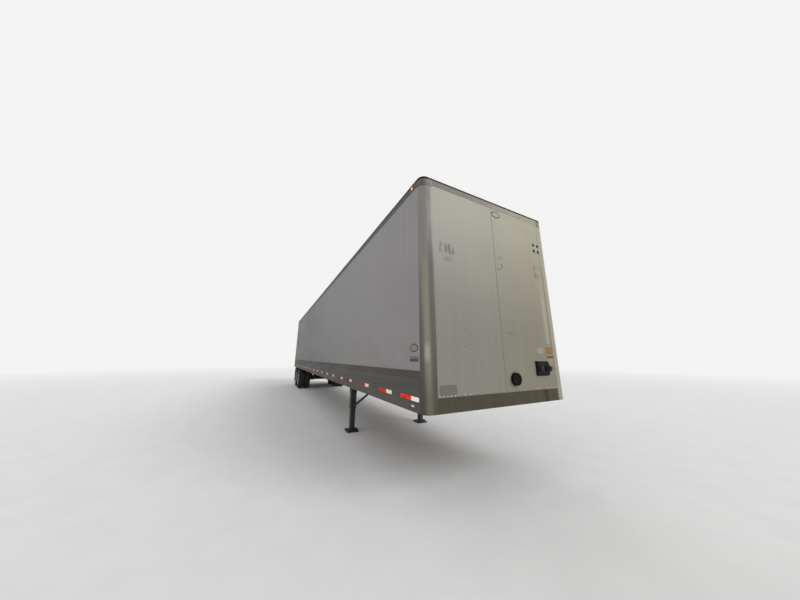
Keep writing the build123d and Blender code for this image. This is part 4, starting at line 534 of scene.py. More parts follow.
@dataclass(frozen=True)
class TyreRubber(Rubber):
    """Tyre rubber: fine rings and lettering-free bands on the wall, cuts across the ribs painted dark as shade, a
    scrubbed tread.
    """

    front: float = -5.115
    rear: float = -6.365
    height: float = 0.508
    tread: float = 0.494
    rings: tuple[Point, ...] = ((0.462, 0.0012, 0.0012), (0.404, 0.001, 0.001), (0.33, 0.0015, 0.001))

    def inputs(self, s: Shader) -> Inputs:
        """See Finish.inputs."""
        between = (self.front + self.rear) / 2
        u = s.x - (s.x.ramp(between + 0.001, between - 0.001) * (self.rear - self.front) + self.front)
        v = s.z - self.height
        radius = (u * u + v * v) ** 0.5
        turn = s.node("ShaderNodeMath", {"operation": "ARCTAN2"}, {0: v, 1: u})
        on_tread = radius.ramp(self.tread, self.tread + 0.004)
        cut = abs(turn * self.height % 0.026 - 0.013).ramp(0.0016, 0.0006) * on_tread
        first, second, third = (radius.near(*ring) for ring in self.rings)
        grain = radius.ramp(0.4, 0.41) * radius.ramp(0.46, 0.455) * abs(turn * 0.43 % 0.004 - 0.002) * 60.0
        mud = self.mud(s)
        dusty = s.mix(mud * self.dust, s.mix(on_tread * 0.5, self.bloom(s), (0.055, 0.052, 0.048)), self.dirt)
        relief = (first + second + third).at_most(1.0) - cut + grain * 0.2 + s.noise(GRAIN) * 0.3
        return {
            # painted shade: the cuts across the ribs are near black
            "Base Color": s.mix(cut * 0.7, dusty, (0.008, 0.008, 0.008)),
            "Roughness": self.rough + mud * 0.15,
            "Normal": s.bump(relief, 0.0012),
        }


@dataclass(frozen=True)
class RoofTrim(Extrusion):
    """Black roof edge, worn grey along its lower lip on the nose."""

    def worn(self, s: Shader, colour: Socket) -> Socket:
        """The colour with the lip."""
        lip = s.z.ramp(4.097, 4.095) * abs(s.y).ramp(1.2, 1.16)
        return s.mix(lip * 0.8, colour, (0.17, 0.165, 0.15))


@dataclass(frozen=True)
class Spangle(Finish):
    """Galvanized sheet: flat crystals of slightly different grey."""

    def inputs(self, s: Shader) -> Inputs:
        """See Finish.inputs."""
        crystal = s.node("ShaderNodeTexVoronoi", {}, {"Vector": s.place, "Scale": 70.0}, "Color")
        value = s.node("ShaderNodeSeparateXYZ", {}, {0: crystal})
        tint = s.mix(value, self.shade(0.86), self.shade(1.1))
        return {
            "Base Color": s.mix(s.cloud() * self.dust, tint, self.dirt),
            "Roughness": self.rough + value * 0.15,
            "Normal": s.bump(s.noise(FINE), self.bump_depth),
        }


@dataclass(frozen=True)
class Lens(Finish):
    """Moulded lamp lens with fine optic ribs behind a glossy face."""

    glow: float = 0.0

    def inputs(self, s: Shader) -> Inputs:
        """See Finish.inputs."""
        rib = abs((s.x + s.y) % 0.006 - 0.003)
        cloud = s.noise(MOTTLED).ramp(0.3, 0.7)
        return {
            "Base Color": s.mix(cloud, self.shade(0.85), self.shade(1.1)),
            "Roughness": self.rough + cloud * 0.1,
            "Normal": s.bump(rib * 300.0, 0.0006),
            "Emission Color": self.colour,
            "Emission Strength": self.glow,
        }


@dataclass(frozen=True)
class Tape(Finish):
    """Reflective sheeting: prisms in small hexagons under a clear film, greyer and dimmer behind the front strips, with
    a painted glow.
    """

    dulled: float = 0.2
    # painted glow: the tape shines by itself, in place of the light it sends back
    glow: float = 0.24

    def inputs(self, s: Shader) -> Inputs:
        """See Finish.inputs."""
        hexagons = {"Vector": s.place, "Scale": 190.0, "Randomness": 0.12}
        net = s.node("ShaderNodeTexVoronoi", {"feature": "DISTANCE_TO_EDGE"}, hexagons).ramp(0.05, 0.12)
        scratch = s.noise(MOTTLED, (1, 1, 0.3)).ramp(0.6, 0.75)
        # greyer and dimmer behind the front strips, the painted glow as well
        dull = (s.x.ramp(7.35, 6.9) * 0.3 + s.x.ramp(6.5, 5.6) * self.dulled) * s.x.ramp(-8.0, -7.9)
        scuff = s.x.near(7.55, 0.03, 0.02) * s.z.near(1.205, 0.008, 0.006) * 0.5
        grime = (scratch * self.dust + dull + scuff).at_most(0.85)
        return {
            "Base Color": s.mix(grime, s.mix(net, self.shade(1.12), self.shade(0.94)), self.dirt),
            "Roughness": self.rough + grime * 0.2,
            "Normal": s.bump(net, 0.0001),
            "Emission Color": s.mix(grime, self.colour, (0.0, 0.0, 0.0)),
            "Emission Strength": self.glow,
        }


DIRT = (0.17, 0.155, 0.13)
SOOT = (0.06, 0.052, 0.04)
SCUFFS = (
    # distance from the centre line, height, half width, half height, strength
    (-0.888, 3.115, 0.175, 0.085, 0.7),
    (-0.9, 2.97, 0.12, 0.045, 0.4),
    (0.11, 3.187, 0.05, 0.045, 0.65),
    (0.125, 3.05, 0.04, 0.04, 0.7),
    (1.0, 3.09, 0.13, 0.13, 0.45),
    (0.2, 2.19, 0.13, 0.03, 0.3),
    (0.2, 2.02, 0.14, 0.03, 0.5),
)


class Look:
    """Every finish, by the piece of the trailer that wears it."""

    side = SideSkin("prefinished_side_plate", (0.293, 0.286, 0.281), "side_skin", gloss=0.1, dirt=DIRT)
    door = SideSkin("prefinished_door_plate", (0.31, 0.303, 0.298), "side_skin", gloss=0.1, dirt=DIRT, rear=0.3)
    nose = NoseSkin("riveted_nose_sheet", (0.4, 0.386, 0.336), "front_skin", 0.45, gloss=0.2, scuffs=SCUFFS)
    lower = LowerRail("dull_lower_rail", (0.093, 0.088, 0.081), "lower_rail", 0.55, gloss=0.12, dirt=DIRT)
    post = CornerPost("drawn_corner_post", (0.234, 0.216, 0.199), "rail_metal", 0.48, 0.1, gloss=0.15, grime=0.15,
                      dirt=DIRT)
    # the side's top rail is darker than the nose's: partly its own tone, partly painted shade on the side and painted
    # light on the nose; the nose's rail grows lighter towards its left end
    side_top = Extrusion("side_top_rail", (0.096, 0.091, 0.09), "rail_metal", 0.55, gloss=0.12,
                         along=(0.05, 0.05, 1.0), grime=0.1)
    nose_top = Extrusion("nose_top_rail", (0.205, 0.192, 0.168), "rail_metal", 0.5, 0.05, gloss=0.15,
                         along=(1.0, 0.05, 1.0), grime=0.1, left_end=(0.38, 0.345, 0.275))
    sill = Extrusion("grimy_nose_rail", (0.084, 0.073, 0.049), "rail_metal", 0.6, gloss=0.12, dirt=SOOT,
                     along=(1.0, 0.05, 1.0), grime=0.5, runs=((0.835, 0.045), (0.42, 0.006)),
                     left_end=(0.084, 0.071, 0.047))
    trim = RoofTrim("black_roof_edge", (0.009, 0.009, 0.01), "black_trim", 0.6, gloss=0.08, grime=0.03)
    roof = Extrusion("roof_sheet_metal", (0.55, 0.55, 0.55), "roof_metal", 0.4, 0.5, along=(0.2, 1.0, 1.0))
    zinc_sheet = Spangle("spangled_zinc_sheet", (0.42, 0.43, 0.44), "galvanized", 0.38, 0.7, dust=0.15)
    planks = Planks("laminated_floor", (0.3, 0.185, 0.1), "hardwood", bump_depth=0.0012)
    portal = Finish("rear_frame_enamel", (0.36, 0.355, 0.345), "frame_paint", 0.45)
    zinc = Extrusion("zinc_plated_steel", (0.42, 0.415, 0.39), "zinc_steel", 0.38, 0.7, dirt=DIRT)
    rivet = Finish("bright_rivet_heads", (0.55, 0.54, 0.5), "zinc_steel", 0.3, 0.5, gloss=0.5, dust=0.1)
    # dark heads: partly weathering, partly painted shade for the shadow each head casts
    stud = Finish("weathered_and_shaded_rivet_heads", (0.12, 0.112, 0.095), "zinc_steel", 0.5, 0.2, dust=0.1)
    nut = Finish("rust_dulled_nuts", (0.085, 0.066, 0.052), "zinc_steel", 0.5, 0.3)
    greased = Finish("greased_pin_steel", (0.15, 0.14, 0.13), "machined_steel", 0.3, 0.8, gloss=0.5, dust=0.2)
    chassis = ChassisSteel("dusty_chassis_paint", (0.024, 0.024, 0.025), "chassis_paint", dust=0.3)
    beams = ChassisSteel("dusty_crossmember_paint", (0.04, 0.039, 0.037), "chassis_paint", 0.6, dust=0.45, rust=0.5)
    wheel = Finish("white_wheel_enamel", (0.47, 0.465, 0.44), "wheel_paint", 0.4, dust=0.4, dirt=DIRT)
    tyre = TyreRubber("worn_tyre_rubber", (0.024, 0.024, 0.025), "tyre_rubber", 0.75, gloss=0.2, dust=0.22,
                      dirt=(0.11, 0.1, 0.085))
    rubber = Rubber("black_rubber", (0.018, 0.018, 0.019), "black_rubber", 0.7, gloss=0.2, dust=0.2, dirt=DIRT)
    cast = Finish("cast_nose_box", (0.014, 0.012, 0.012), "cast_box", 0.65, gloss=0.08, dust=0.08, bump_depth=0.0008)
    worn_cast = Finish("worn_coupling_metal", (0.055, 0.05, 0.045), "zinc_steel", 0.45, 0.6, dust=0.1)
    plastic = Finish("dark_moulded_plastic", (0.007, 0.007, 0.0035), "black_plastic", 0.65, gloss=0.06, dust=0.03)
    amber_lit = Lens("lit_amber_lens", (1.0, 0.42, 0.06), "amber_lens", 0.2, coat=0.5, gloss=0.5, glow=1.2)
    amber = Lens("pale_amber_lens", (0.78, 0.64, 0.47), "amber_lens", 0.2, coat=0.5, gloss=0.5)
    dim = Lens("shaded_amber_lens", (0.34, 0.085, 0.03), "amber_lens", 0.3)
    red = Lens("red_lens", (0.42, 0.015, 0.012), "red_lens", 0.2, coat=0.5, gloss=0.5)
    tape_red = Tape("red_reflective_tape", (0.74, 0.028, 0.008), "red_lens", 0.4, gloss=0.06, dust=0.2,
                    dirt=(0.055, 0.012, 0.016), dulled=0.45)
    tape_white = Tape("white_reflective_tape", (0.78, 0.75, 0.64), "side_skin", 0.35, dust=0.15,
                      dirt=(0.3, 0.3, 0.3), dulled=0.3)
    orange = Finish("orange_blank_label", (0.3, 0.145, 0.032), "front_skin", dust=0.08)
    brown = Finish("brown_blank_label", (0.1, 0.04, 0.03), "front_skin", dust=0.08)
    pale = Finish("pale_blank_label", (0.32, 0.305, 0.265), "front_skin", gloss=0.2, dust=0.2)
    patch = Finish("grey_cover_patch", (0.16, 0.158, 0.132), "front_skin", gloss=0.15, dust=0.1)
    badge = Finish("blank_badge_enamel", (0.27, 0.225, 0.195), "front_skin", 0.45, dust=0.15)
    plate = Finish("blank_dark_plate", (0.062, 0.055, 0.056), "black_trim", gloss=0.15, dust=0.1)
    ash = Finish("blank_grey_plate", (0.165, 0.155, 0.155), "black_trim", gloss=0.15, dust=0.1)
    sealant = Finish("grey_joint_sealant", (0.13, 0.125, 0.105), "black_trim", 0.6, gloss=0.15, dust=0.1)
    joint = Finish("skin_joint_filler", (0.235, 0.23, 0.228), "side_skin", gloss=0.1, dust=0.05)
    # painted shade: near black, standing for the shade inside holes and recesses
    recess_shade = Finish("painted_recess_shade", (0.01, 0.01, 0.01), "black_plastic", 0.8, gloss=0.1, dust=0.05)


# which nodes wear what; every other node wears chassis paint
NODE_FINISH: dict[str, Finish] = {
    name: finish
    for finish, names in (
        (Look.lower, ("bottom_rails",)),
        (Look.side_top, ("top_rails",)),
        (Look.side, ("side_panels_left", "side_panels_right")),
        (Look.zinc_sheet, ("wall_joint_strips", "roof_bows")),
        (Look.post, ("front_posts",)),
        (Look.sill, ("front_bottom_rail",)),
        (Look.nose_top, ("front_top_rail",)),
        (Look.nose, ("front_wall_left", "front_wall_right")),
        (Look.roof, ("roof_sheet",)),
        (Look.trim, ("roof_edge_trim",)),
        (Look.planks, ("floor_boards",)),
        (Look.beams, ("crossmembers", "upper_coupler")),
        (Look.greased, ("kingpin",)),
        (Look.portal, ("rear_frame",)),
        (Look.door, ("rear_door_left", "rear_door_right")),
        (Look.zinc, ("door_hinges_left", "door_hinges_right", "lock_rods_left", "lock_rods_right")),
        (Look.rubber, ("dock_bumpers", "mud_flaps")),
        (Look.plastic, ("document_holder",)),
        (Look.cast, ("nose_box",)),
        (Look.amber, ("amber_lamps",)),
        (Look.red, ("red_lamps",)),
    )
    for name in names
}


def at(x: float, y: float, z: float) -> Vector:
    """A place, or a shift from one."""
    return Vector((x, y, z))


def across(axis: Vector) -> tuple[Vector, Vector]:
    """Two unit vectors square to an axis, which make a right-handed frame with it."""
    first = (UP if abs(axis.normalized().z) < 0.9 else AHEAD).cross(axis).normalized()
    return first, axis.normalized().cross(first)


def spokes(first: Vector, second: Vector, count: int, shift: float = 0.0) -> list[Vector]:
    """Unit vectors round a circle, which starts at first, shift steps on, and turns towards second."""
    turns = [2 * math.pi * (k + shift) / count for k in range(count)]
    return [first * math.cos(turn) + second * math.sin(turn) for turn in turns]


def put(name: str, data: bpy.types.ID) -> bpy.types.Object:
    """Makes an object of some data and puts it in the scene."""
    item = bpy.data.objects.new(name, data)
    bpy.context.scene.collection.objects.link(item)
    return item


class Shape:
    """A mesh in the making, gathered from lofts, turned profiles, tubes and blocks."""

    tip = 0.0002  # a profile that reaches its axis stops at this radius

    def __init__(self) -> None:
        """Starts with nothing."""
        self.points: list[Vector] = []
        self.faces: list[tuple[int, ...]] = []

    def loft(self, rings: Sequence[Sequence[Vector]], loop: bool = False) -> "Shape":
        """Joins rings of equal count with quads.

        Args:
            rings: closed rings of points.
            loop: whether the last ring joins the first. Otherwise both are filled.

        Returns:
            This shape.
        """
        count = len(rings[0])
        starts = [len(self.points) + step * count for step in range(len(rings))]
        for ring in rings:
            self.points.extend(ring)
        for here, there in zip(starts, starts[1:] + starts[:1] if loop else starts[1:]):
            self.band(here, there, count)
        if not loop:
            self.faces.append(tuple(starts[0] + k for k in reversed(range(count))))
            self.faces.append(tuple(starts[-1] + k for k in range(count)))
        return self

    def band(self, here: int, there: int, count: int) -> None:
        """Joins two rings of points, numbered from here and from there, with quads."""
        for k, after in zip(range(count), [*range(1, count), 0]):
            self.faces.append((here + k, here + after, there + after, there + k))

    def block(self, corner: Sequence[float], opposite: Sequence[float]) -> "Shape":
        """A box between two opposite corners."""
        (x0, x1), (y0, y1), (z0, z1) = (sorted(pair) for pair in zip(corner, opposite))
        return self.loft([[at(x0, y0, z), at(x1, y0, z), at(x1, y1, z), at(x0, y1, z)] for z in (z0, z1)])

    def blocks(self, seat: Vector, *boxes: tuple[Point, Point]) -> "Shape":
        """Boxes whose opposite corners are shifts from a seat."""
        for corner, opposite in boxes:
            self.block(seat + Vector(corner), seat + Vector(opposite))
        return self

    def prism(self, outline: Sequence[Pair], origin: Vector, axis: Vector, depth: float, right: Vector) -> "Shape":
        """A flat outline, given as distances to the right and up from its origin, pushed along an axis."""
        start = [origin + right * u + axis.cross(right) * v for u, v in outline]
        return self.loft([start, [point + axis * depth for point in start]])

    def lathe(self, profile: Sequence[Pair], centre: Vector, axis: Vector, sides: int = 20,
              loop: bool = False) -> "Shape":
        """Turns pairs of distance along the axis and radius into a ring, if they are a loop, or a solid."""
        turned = spokes(*across(axis), sides)
        return self.loft([[centre + axis * reach + spoke * max(radius, self.tip) for spoke in turned]
                          for reach, radius in profile], loop)

    def tube(self, path: Sequence[Vector], radius: float, sides: int = 10) -> "Shape":
        """A round bar along a path of straight runs.

        Args:
            path: its points.
            radius: the bar's radius.
            sides: faces round it.

        Returns:
            This shape.
        """
        rings = []
        legs = [(end - start).normalized() for start, end in zip(path, path[1:])]
        first, _ = across(path[1] - path[0])
        for point, before, after in zip(path, legs[:1] + legs, legs + legs[-1:]):
            way = (before + after).normalized()
            first = (first - way * first.dot(way)).normalized()
            rings.append([point + spoke * radius for spoke in spokes(first, way.cross(first), sides)])
        return self.loft(rings)

    def dome(self, centre: Vector, axis: Vector, radius: float, height: float, sides: int = 8) -> "Shape":
        """A rivet: a low rounded head standing on a face."""
        rise = [(-height * 0.3, radius), (0.0, radius), (height * 0.6, radius * 0.82), (height, radius * 0.4)]
        return self.lathe(rise, centre, axis, sides)

    def bolt(self, centre: Vector, axis: Vector, radius: float) -> "Shape":
        """A hexagon head on a washer, with a short stub of thread."""
        thick = radius * 0.8
        self.lathe([(0.0, radius * 1.5), (radius * 0.22, radius * 1.5)], centre, axis, 16)
        self.lathe([(0.0, radius), (thick * 0.85, radius), (thick, radius * 0.86)], centre, axis, 6)
        return self.lathe([(thick, radius * 0.5), (thick * 1.5, radius * 0.45)], centre, axis, 10)

    def piece(self, name: str, finish: Finish, body: str = "trailer", replaces: Sequence[str] = (),
              bevel: float = 0.0, smooth: float = 40.0) -> None:
        """Turns the shape into a piece of the trailer.

        Args:
            name: the piece's name.
            finish: its finish.
            body: the body that it rides on.
            replaces: the nodes that it stands for.
            bevel: width of a rounded edge, in metres.
            smooth: edges flatter than this angle, in degrees, are shaded smooth.
        """
        mesh = bpy.data.meshes.new(name)
        made = bmesh.new()
        corners = [made.verts.new(point) for point in self.points]
        for face in self.faces:
            made.faces.new([corners[k] for k in face])
        bmesh.ops.remove_doubles(made, verts=made.verts, dist=1e-6)
        bmesh.ops.recalc_face_normals(made, faces=made.faces)
        made.to_mesh(mesh)
        made.free()
        mesh.polygons.foreach_set("use_smooth", [True] * len(mesh.polygons))
        mesh.set_sharp_from_angle(angle=math.radians(smooth))
        mesh.materials.append(finish.material)
        item = put(name, mesh)
        if bevel:
            rounder = item.modifiers.new("rounded_edges", "BEVEL")
            rounder.width = bevel
            rounder.segments = 2
            rounder.limit_method = "ANGLE"
            rounder.angle_limit = math.radians(smooth)
        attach(item, body)
        if replaces:
            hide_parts(*replaces)
        LOG.info("%s on %s: %d triangles", name, body, sum(len(face) - 2 for face in self.faces))


def run(start: float, end: float, pitch: float) -> list[float]:
    """Even steps from start to end, as near to the pitch as fits."""
    count = max(1, round(abs(end - start) / pitch))
    return [start + (end - start) * k / count for k in range(count + 1)]


def low(node: str) -> Vector:
    """Lowest corner of a node's box."""
    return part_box(node)[0]


def high(node: str) -> Vector:
    """Highest corner of a node's box."""
    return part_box(node)[1]


def middle(node: str) -> Vector:
    """Middle of a node's box."""
    return (low(node) + high(node)) / 2


def levels(node: str, axis: int, step: float = 0.0005) -> list[float]:
    """The distinct places of a node's corners along one axis.

    Args:
        node: a node's name.
        axis: 0, 1 or 2.
        step: corners nearer than this count as one place.

    Returns:
        The places, lowest first.
    """
    found: list[float] = []
    for place in sorted(vertex.co[axis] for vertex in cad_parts[node].data.vertices):
        if not found or place - found[-1] > step:
            found.append(place)
    return found


@dataclass
class Van:
    """Places that several sub-assemblies share, read from the frame."""

    nose: float = high("front_posts").x
    tail: float = low("rear_door_left").x
    half: float = high("bottom_rails").y
    skin: float = high("side_panels_left").y
    rail_low: float = low("bottom_rails").z
    rail_high: float = high("bottom_rails").z
    sheet: float = high("front_wall_right").x
    sheet_half: float = high("front_wall_left").y
    sheet_top: float = high("front_wall_right").z
    sill_top: float = low("front_wall_right").z
    roof: float = high("roof_edge_trim").z
    floor: float = high("floor_boards").z
    lamp_row: float = low("rear_frame").z + 0.065


VAN = Van()


def on_sheet(node: str) -> tuple[Vector, float, float, float]:
    """A node's middle on the nose sheet, and its width, height and reach ahead."""
    lo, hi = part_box(node)
    return at(VAN.sheet, *middle(node).yz), hi.y - lo.y, hi.z - lo.z, hi.x - VAN.sheet


@dataclass
class Rivets:
    """Rows of rivet heads, gathered into one piece."""

    name: str
    finish: Finish
    radius: float
    height: float
    sides: int = 8
    shape: Shape = field(default_factory=Shape)

    def row(self, start: Vector, end: Vector, pitch: float, way: Vector) -> None:
        """Adds heads that stand along way, from start to end, as near to the pitch as fits."""
        for share in run(0.0, 1.0, pitch / max((end - start).length, 1e-6)):
            self.shape.dome(start.lerp(end, share), way, self.radius, self.height, self.sides)

    def on_nose(self, x: float, start: Pair, end: Pair, pitch: float) -> None:
        """Adds a row on the nose, from one y and z to another."""
        self.row(at(x, *start), at(x, *end), pitch, AHEAD)

    def build(self) -> None:
        """Makes the piece."""
        self.shape.piece(self.name, self.finish)


def rounded_outline(width: float, height: float, corner: float) -> list[Pair]:
    """A rectangle's outline with round corners.

    Args:
        width: its full width.
        height: its full height.
        corner: the corners' radius, or 0 for an oval.

    Returns:
        The outline's points.
    """
    if not corner:
        turns = [2 * math.pi * k / 28 for k in range(28)]
        return [(width / 2 * math.cos(turn), height / 2 * math.sin(turn)) for turn in turns]
    points, steps = [], 4
    for quarter, (right, up) in enumerate(((1, 1), (-1, 1), (-1, -1), (1, -1))):
        for k in range(steps + 1):
            turn = math.pi / 2 * (quarter + k / steps)
            points.append((right * (width / 2 - corner) + corner * math.cos(turn),
                           up * (height / 2 - corner) + corner * math.sin(turn)))
    return points


@dataclass
class NoseWall:
    """What is fixed to the nose: rivets, seam, labels, patch, badges and vents."""

    edge_row: float = 0.012
    top_row: float = 0.045
    foot_row: float = 0.014
    seam_row: float = 0.02
    edge_pitch: float = 0.05
    top_pitch: float = 0.08
    foot_pitch: float = 0.042
    column_pitch: float = 0.104
    columns: tuple[Pair, ...] = ((-0.68, 2.75), (-0.572, 1.96))
    bright: tuple[Pair, ...] = ((1.092, 0.87), (0.72, 0.64))
    bright_pitch: float = 0.055
    post_foot: float = 1.33
    post_tops: Pair = (3.2, 2.33)
    pale_row: Pair = (2.38, 3.13)
    seam_width: float = 0.004
    seam_drop: float = 0.032
    lap_width: float = 0.034
    lap_thick: float = 0.0012
    notch: float = 2.985
    notch_end: float = 0.125
    label_thick: float = 0.0006
    badge_back: float = 0.238
    vent_inset: float = 0.0925
    vent_drop: float = 0.509
    vent_pitch: float = 0.108
    vent_radius: float = 0.0275
    post_radius: float = 0.1

    def build(self) -> None:
        """Makes every piece of the nose wall."""
        self.rivets()
        self.seam()
        self.labels()
        self.vents()
        self.posts()

    def rivets(self) -> None:
        """Dense rows round each sheet, two loose columns and a row down each post's edge."""
        edge = Rivets("nose_edge_rivets", Look.nose, 0.0045, 0.002)
        foot = Rivets("nose_foot_rivets", Look.rivet, 0.0085, 0.003)
        studs = Rivets("nose_column_rivets", Look.stud, 0.0075, 0.003)
        rims = Rivets("post_edge_rivets", Look.stud, 0.0078, 0.003)
        pale = Rivets("pale_post_rivets", Look.nose, 0.0078, 0.003)
        top = VAN.sheet_top - self.top_row
        bottom = VAN.sill_top + self.foot_row
        for side, post_top in zip(Side, self.post_tops):
            y = side * (VAN.sheet_half - self.edge_row)
            y_seam = side * self.seam_row
            y_post = side * (VAN.sheet_half + self.edge_row)
            edge.on_nose(VAN.sheet, (y, bottom + 0.04), (y, top), self.edge_pitch)
            edge.on_nose(VAN.sheet, (y_seam, top), (y, top), self.top_pitch)
            edge.on_nose(VAN.sheet, (y_seam, bottom), (y, bottom), self.foot_pitch)
            for start, end in self.bright:
                foot.on_nose(VAN.sheet, (side * start, bottom), (side * end, bottom), self.bright_pitch)
            rims.on_nose(VAN.nose, (y_post, self.post_foot), (y_post, post_top), self.edge_pitch)
        pale.on_nose(VAN.nose, (y_post, self.pale_row[0]), (y_post, self.pale_row[1]), self.edge_pitch)
        for y, height in self.columns:
            studs.on_nose(VAN.sheet, (y, bottom + 0.06), (y, height), self.column_pitch)
        for rivets in (edge, foot, studs, rims, pale):
            rivets.build()

    def seam(self) -> None:
        """The lapped seam on the centre line, with a bead of sealant and its own rivets."""
        face, top = VAN.sheet + self.lap_thick, VAN.sheet_top - self.seam_drop
        lap = Shape().block((VAN.sheet, 0.0, VAN.sill_top), (face, self.lap_width, top))
        lap.piece("nose_seam_lap", Look.nose)
        bead = Shape().block((VAN.sheet - 0.001, -self.seam_width, VAN.sill_top), (VAN.sheet + 0.0016, 0.0, top))
        bead.block((VAN.sheet, 0.0, self.notch), (VAN.sheet + 0.0018, self.notch_end, self.notch + 0.007))
        bead.piece("nose_seam_sealant", Look.sealant)
        rivets = Rivets("nose_seam_rivets", Look.nose, 0.0038, 0.0016)
        rivets.on_nose(face, (self.lap_width / 2, VAN.sill_top + 0.03), (self.lap_width / 2, top), 0.06)
        rivets.build()

    def labels(self) -> None:
        """Blank labels, the grey cover patch with its bead, and blank plates where badges sit."""
        for name, finish, y, z, width, height, corner, layers in (
            ("orange_label", Look.orange, 1.026, 1.8, 0.155, 0.12, 0.006, 1),
            ("brown_label_strip", Look.brown, 1.04, 1.702, 0.145, 0.028, 0.004, 1),
            ("label_top_line", Look.sealant, 1.045, 1.888, 0.12, 0.007, 0.002, 1),
            ("pale_label", Look.pale, 0.81, 1.8, 0.15, 0.09, 0.004, 1),
            ("pink_label", Look.pale, 1.035, 1.645, 0.15, 0.07, 0.004, 1),
            ("patch_bead", Look.sealant, -0.967, 1.318, 0.253, 0.115, 0.022, 1),
            ("grey_patch", Look.patch, -0.967, 1.318, 0.245, 0.107, 0.018, 2),
            ("badge_rim", Look.plate, 0.102, 3.912, 0.19, 0.112, 0.0, 3),
            ("blank_badge", Look.nose, 0.102, 3.912, 0.158, 0.08, 0.0, 4),
        ):
            self.plate(name, finish, at(VAN.sheet, y, z), AHEAD, (width, height, corner), layers)
        for name, finish, z, width, height, corner, layers in (
            ("side_badge_rim", Look.plate, 1.803, 0.19, 0.104, 0.0, 1),
            ("blank_side_badge", Look.badge, 1.803, 0.15, 0.076, 0.0, 2),
            ("blank_side_plate", Look.ash, 1.672, 0.2, 0.062, 0.004, 1),
            ("side_plate_strip", Look.plate, 1.655, 0.2, 0.03, 0.003, 2),
        ):
            for side in Side:
                seat = at(VAN.nose - self.badge_back, side * VAN.skin, z)
                self.plate(f"{name}_{side.word}", finish, seat, side.out, (width, height, corner), layers)

    def plate(self, name: str, finish: Finish, seat: Vector, out: Vector, size: Point, layers: int) -> None:
        """A plate of a size in width, height and corner radius, some label layers thick, on a wall that faces out."""
        right = LEFT if out == AHEAD else AHEAD
        Shape().prism(rounded_outline(*size), seat, out, self.label_thick * layers, right).piece(name, finish)

    def vents(self) -> None:
        """A rolled ring in each of the four vent holes and a dark disc just inside it, as painted shade."""
        rings, shade_discs = Shape(), Shape()
        radius, half = self.vent_radius, self.vent_pitch / 2
        y, z = VAN.sheet_half - self.vent_inset, high("front_wall_left").z - self.vent_drop
        for seat in (at(VAN.sheet, y + u * half, z + v * half) for u in (-1, 1) for v in (-1, 1)):
            rings.lathe([(-0.006, radius - 0.002), (0.0012, radius - 0.002), (0.0018, radius), (0.001, radius + 0.003),
                         (0.0, radius + 0.003), (0.0, radius), (-0.006, radius - 0.0005)], seat, AHEAD, 24, loop=True)
            shade_discs.lathe([(-0.0055, radius - 0.0005), (-0.0015, radius - 0.0025)], seat, AHEAD, 24)
        rings.piece("vent_rings", Look.patch)
        shade_discs.piece("vent_shade_discs", Look.recess_shade)

    def posts(self) -> None:
        """Bolts at the foot of each corner post and the bead along it."""
        bolts, beads = Shape(), Shape()
        for side in Side:
            bend = at(VAN.nose - self.post_radius, side * (VAN.half - self.post_radius), VAN.rail_low + 0.02)
            slant = (AHEAD + side.out) * math.sqrt(0.5)
            bolts.bolt(at(VAN.nose - 0.0015, side * (VAN.half - 0.155), bend.z), AHEAD, 0.0055)
            bolts.bolt(bend + slant * 0.0985, slant, 0.0055)
            y = side * VAN.sheet_half
            beads.block((VAN.sheet, y, VAN.sill_top), (VAN.sheet + 0.002, y - side * 0.004, VAN.sheet_top - 0.03))
        bolts.piece("post_foot_bolts", Look.stud)
        beads.piece("post_sealant_beads", Look.nose)


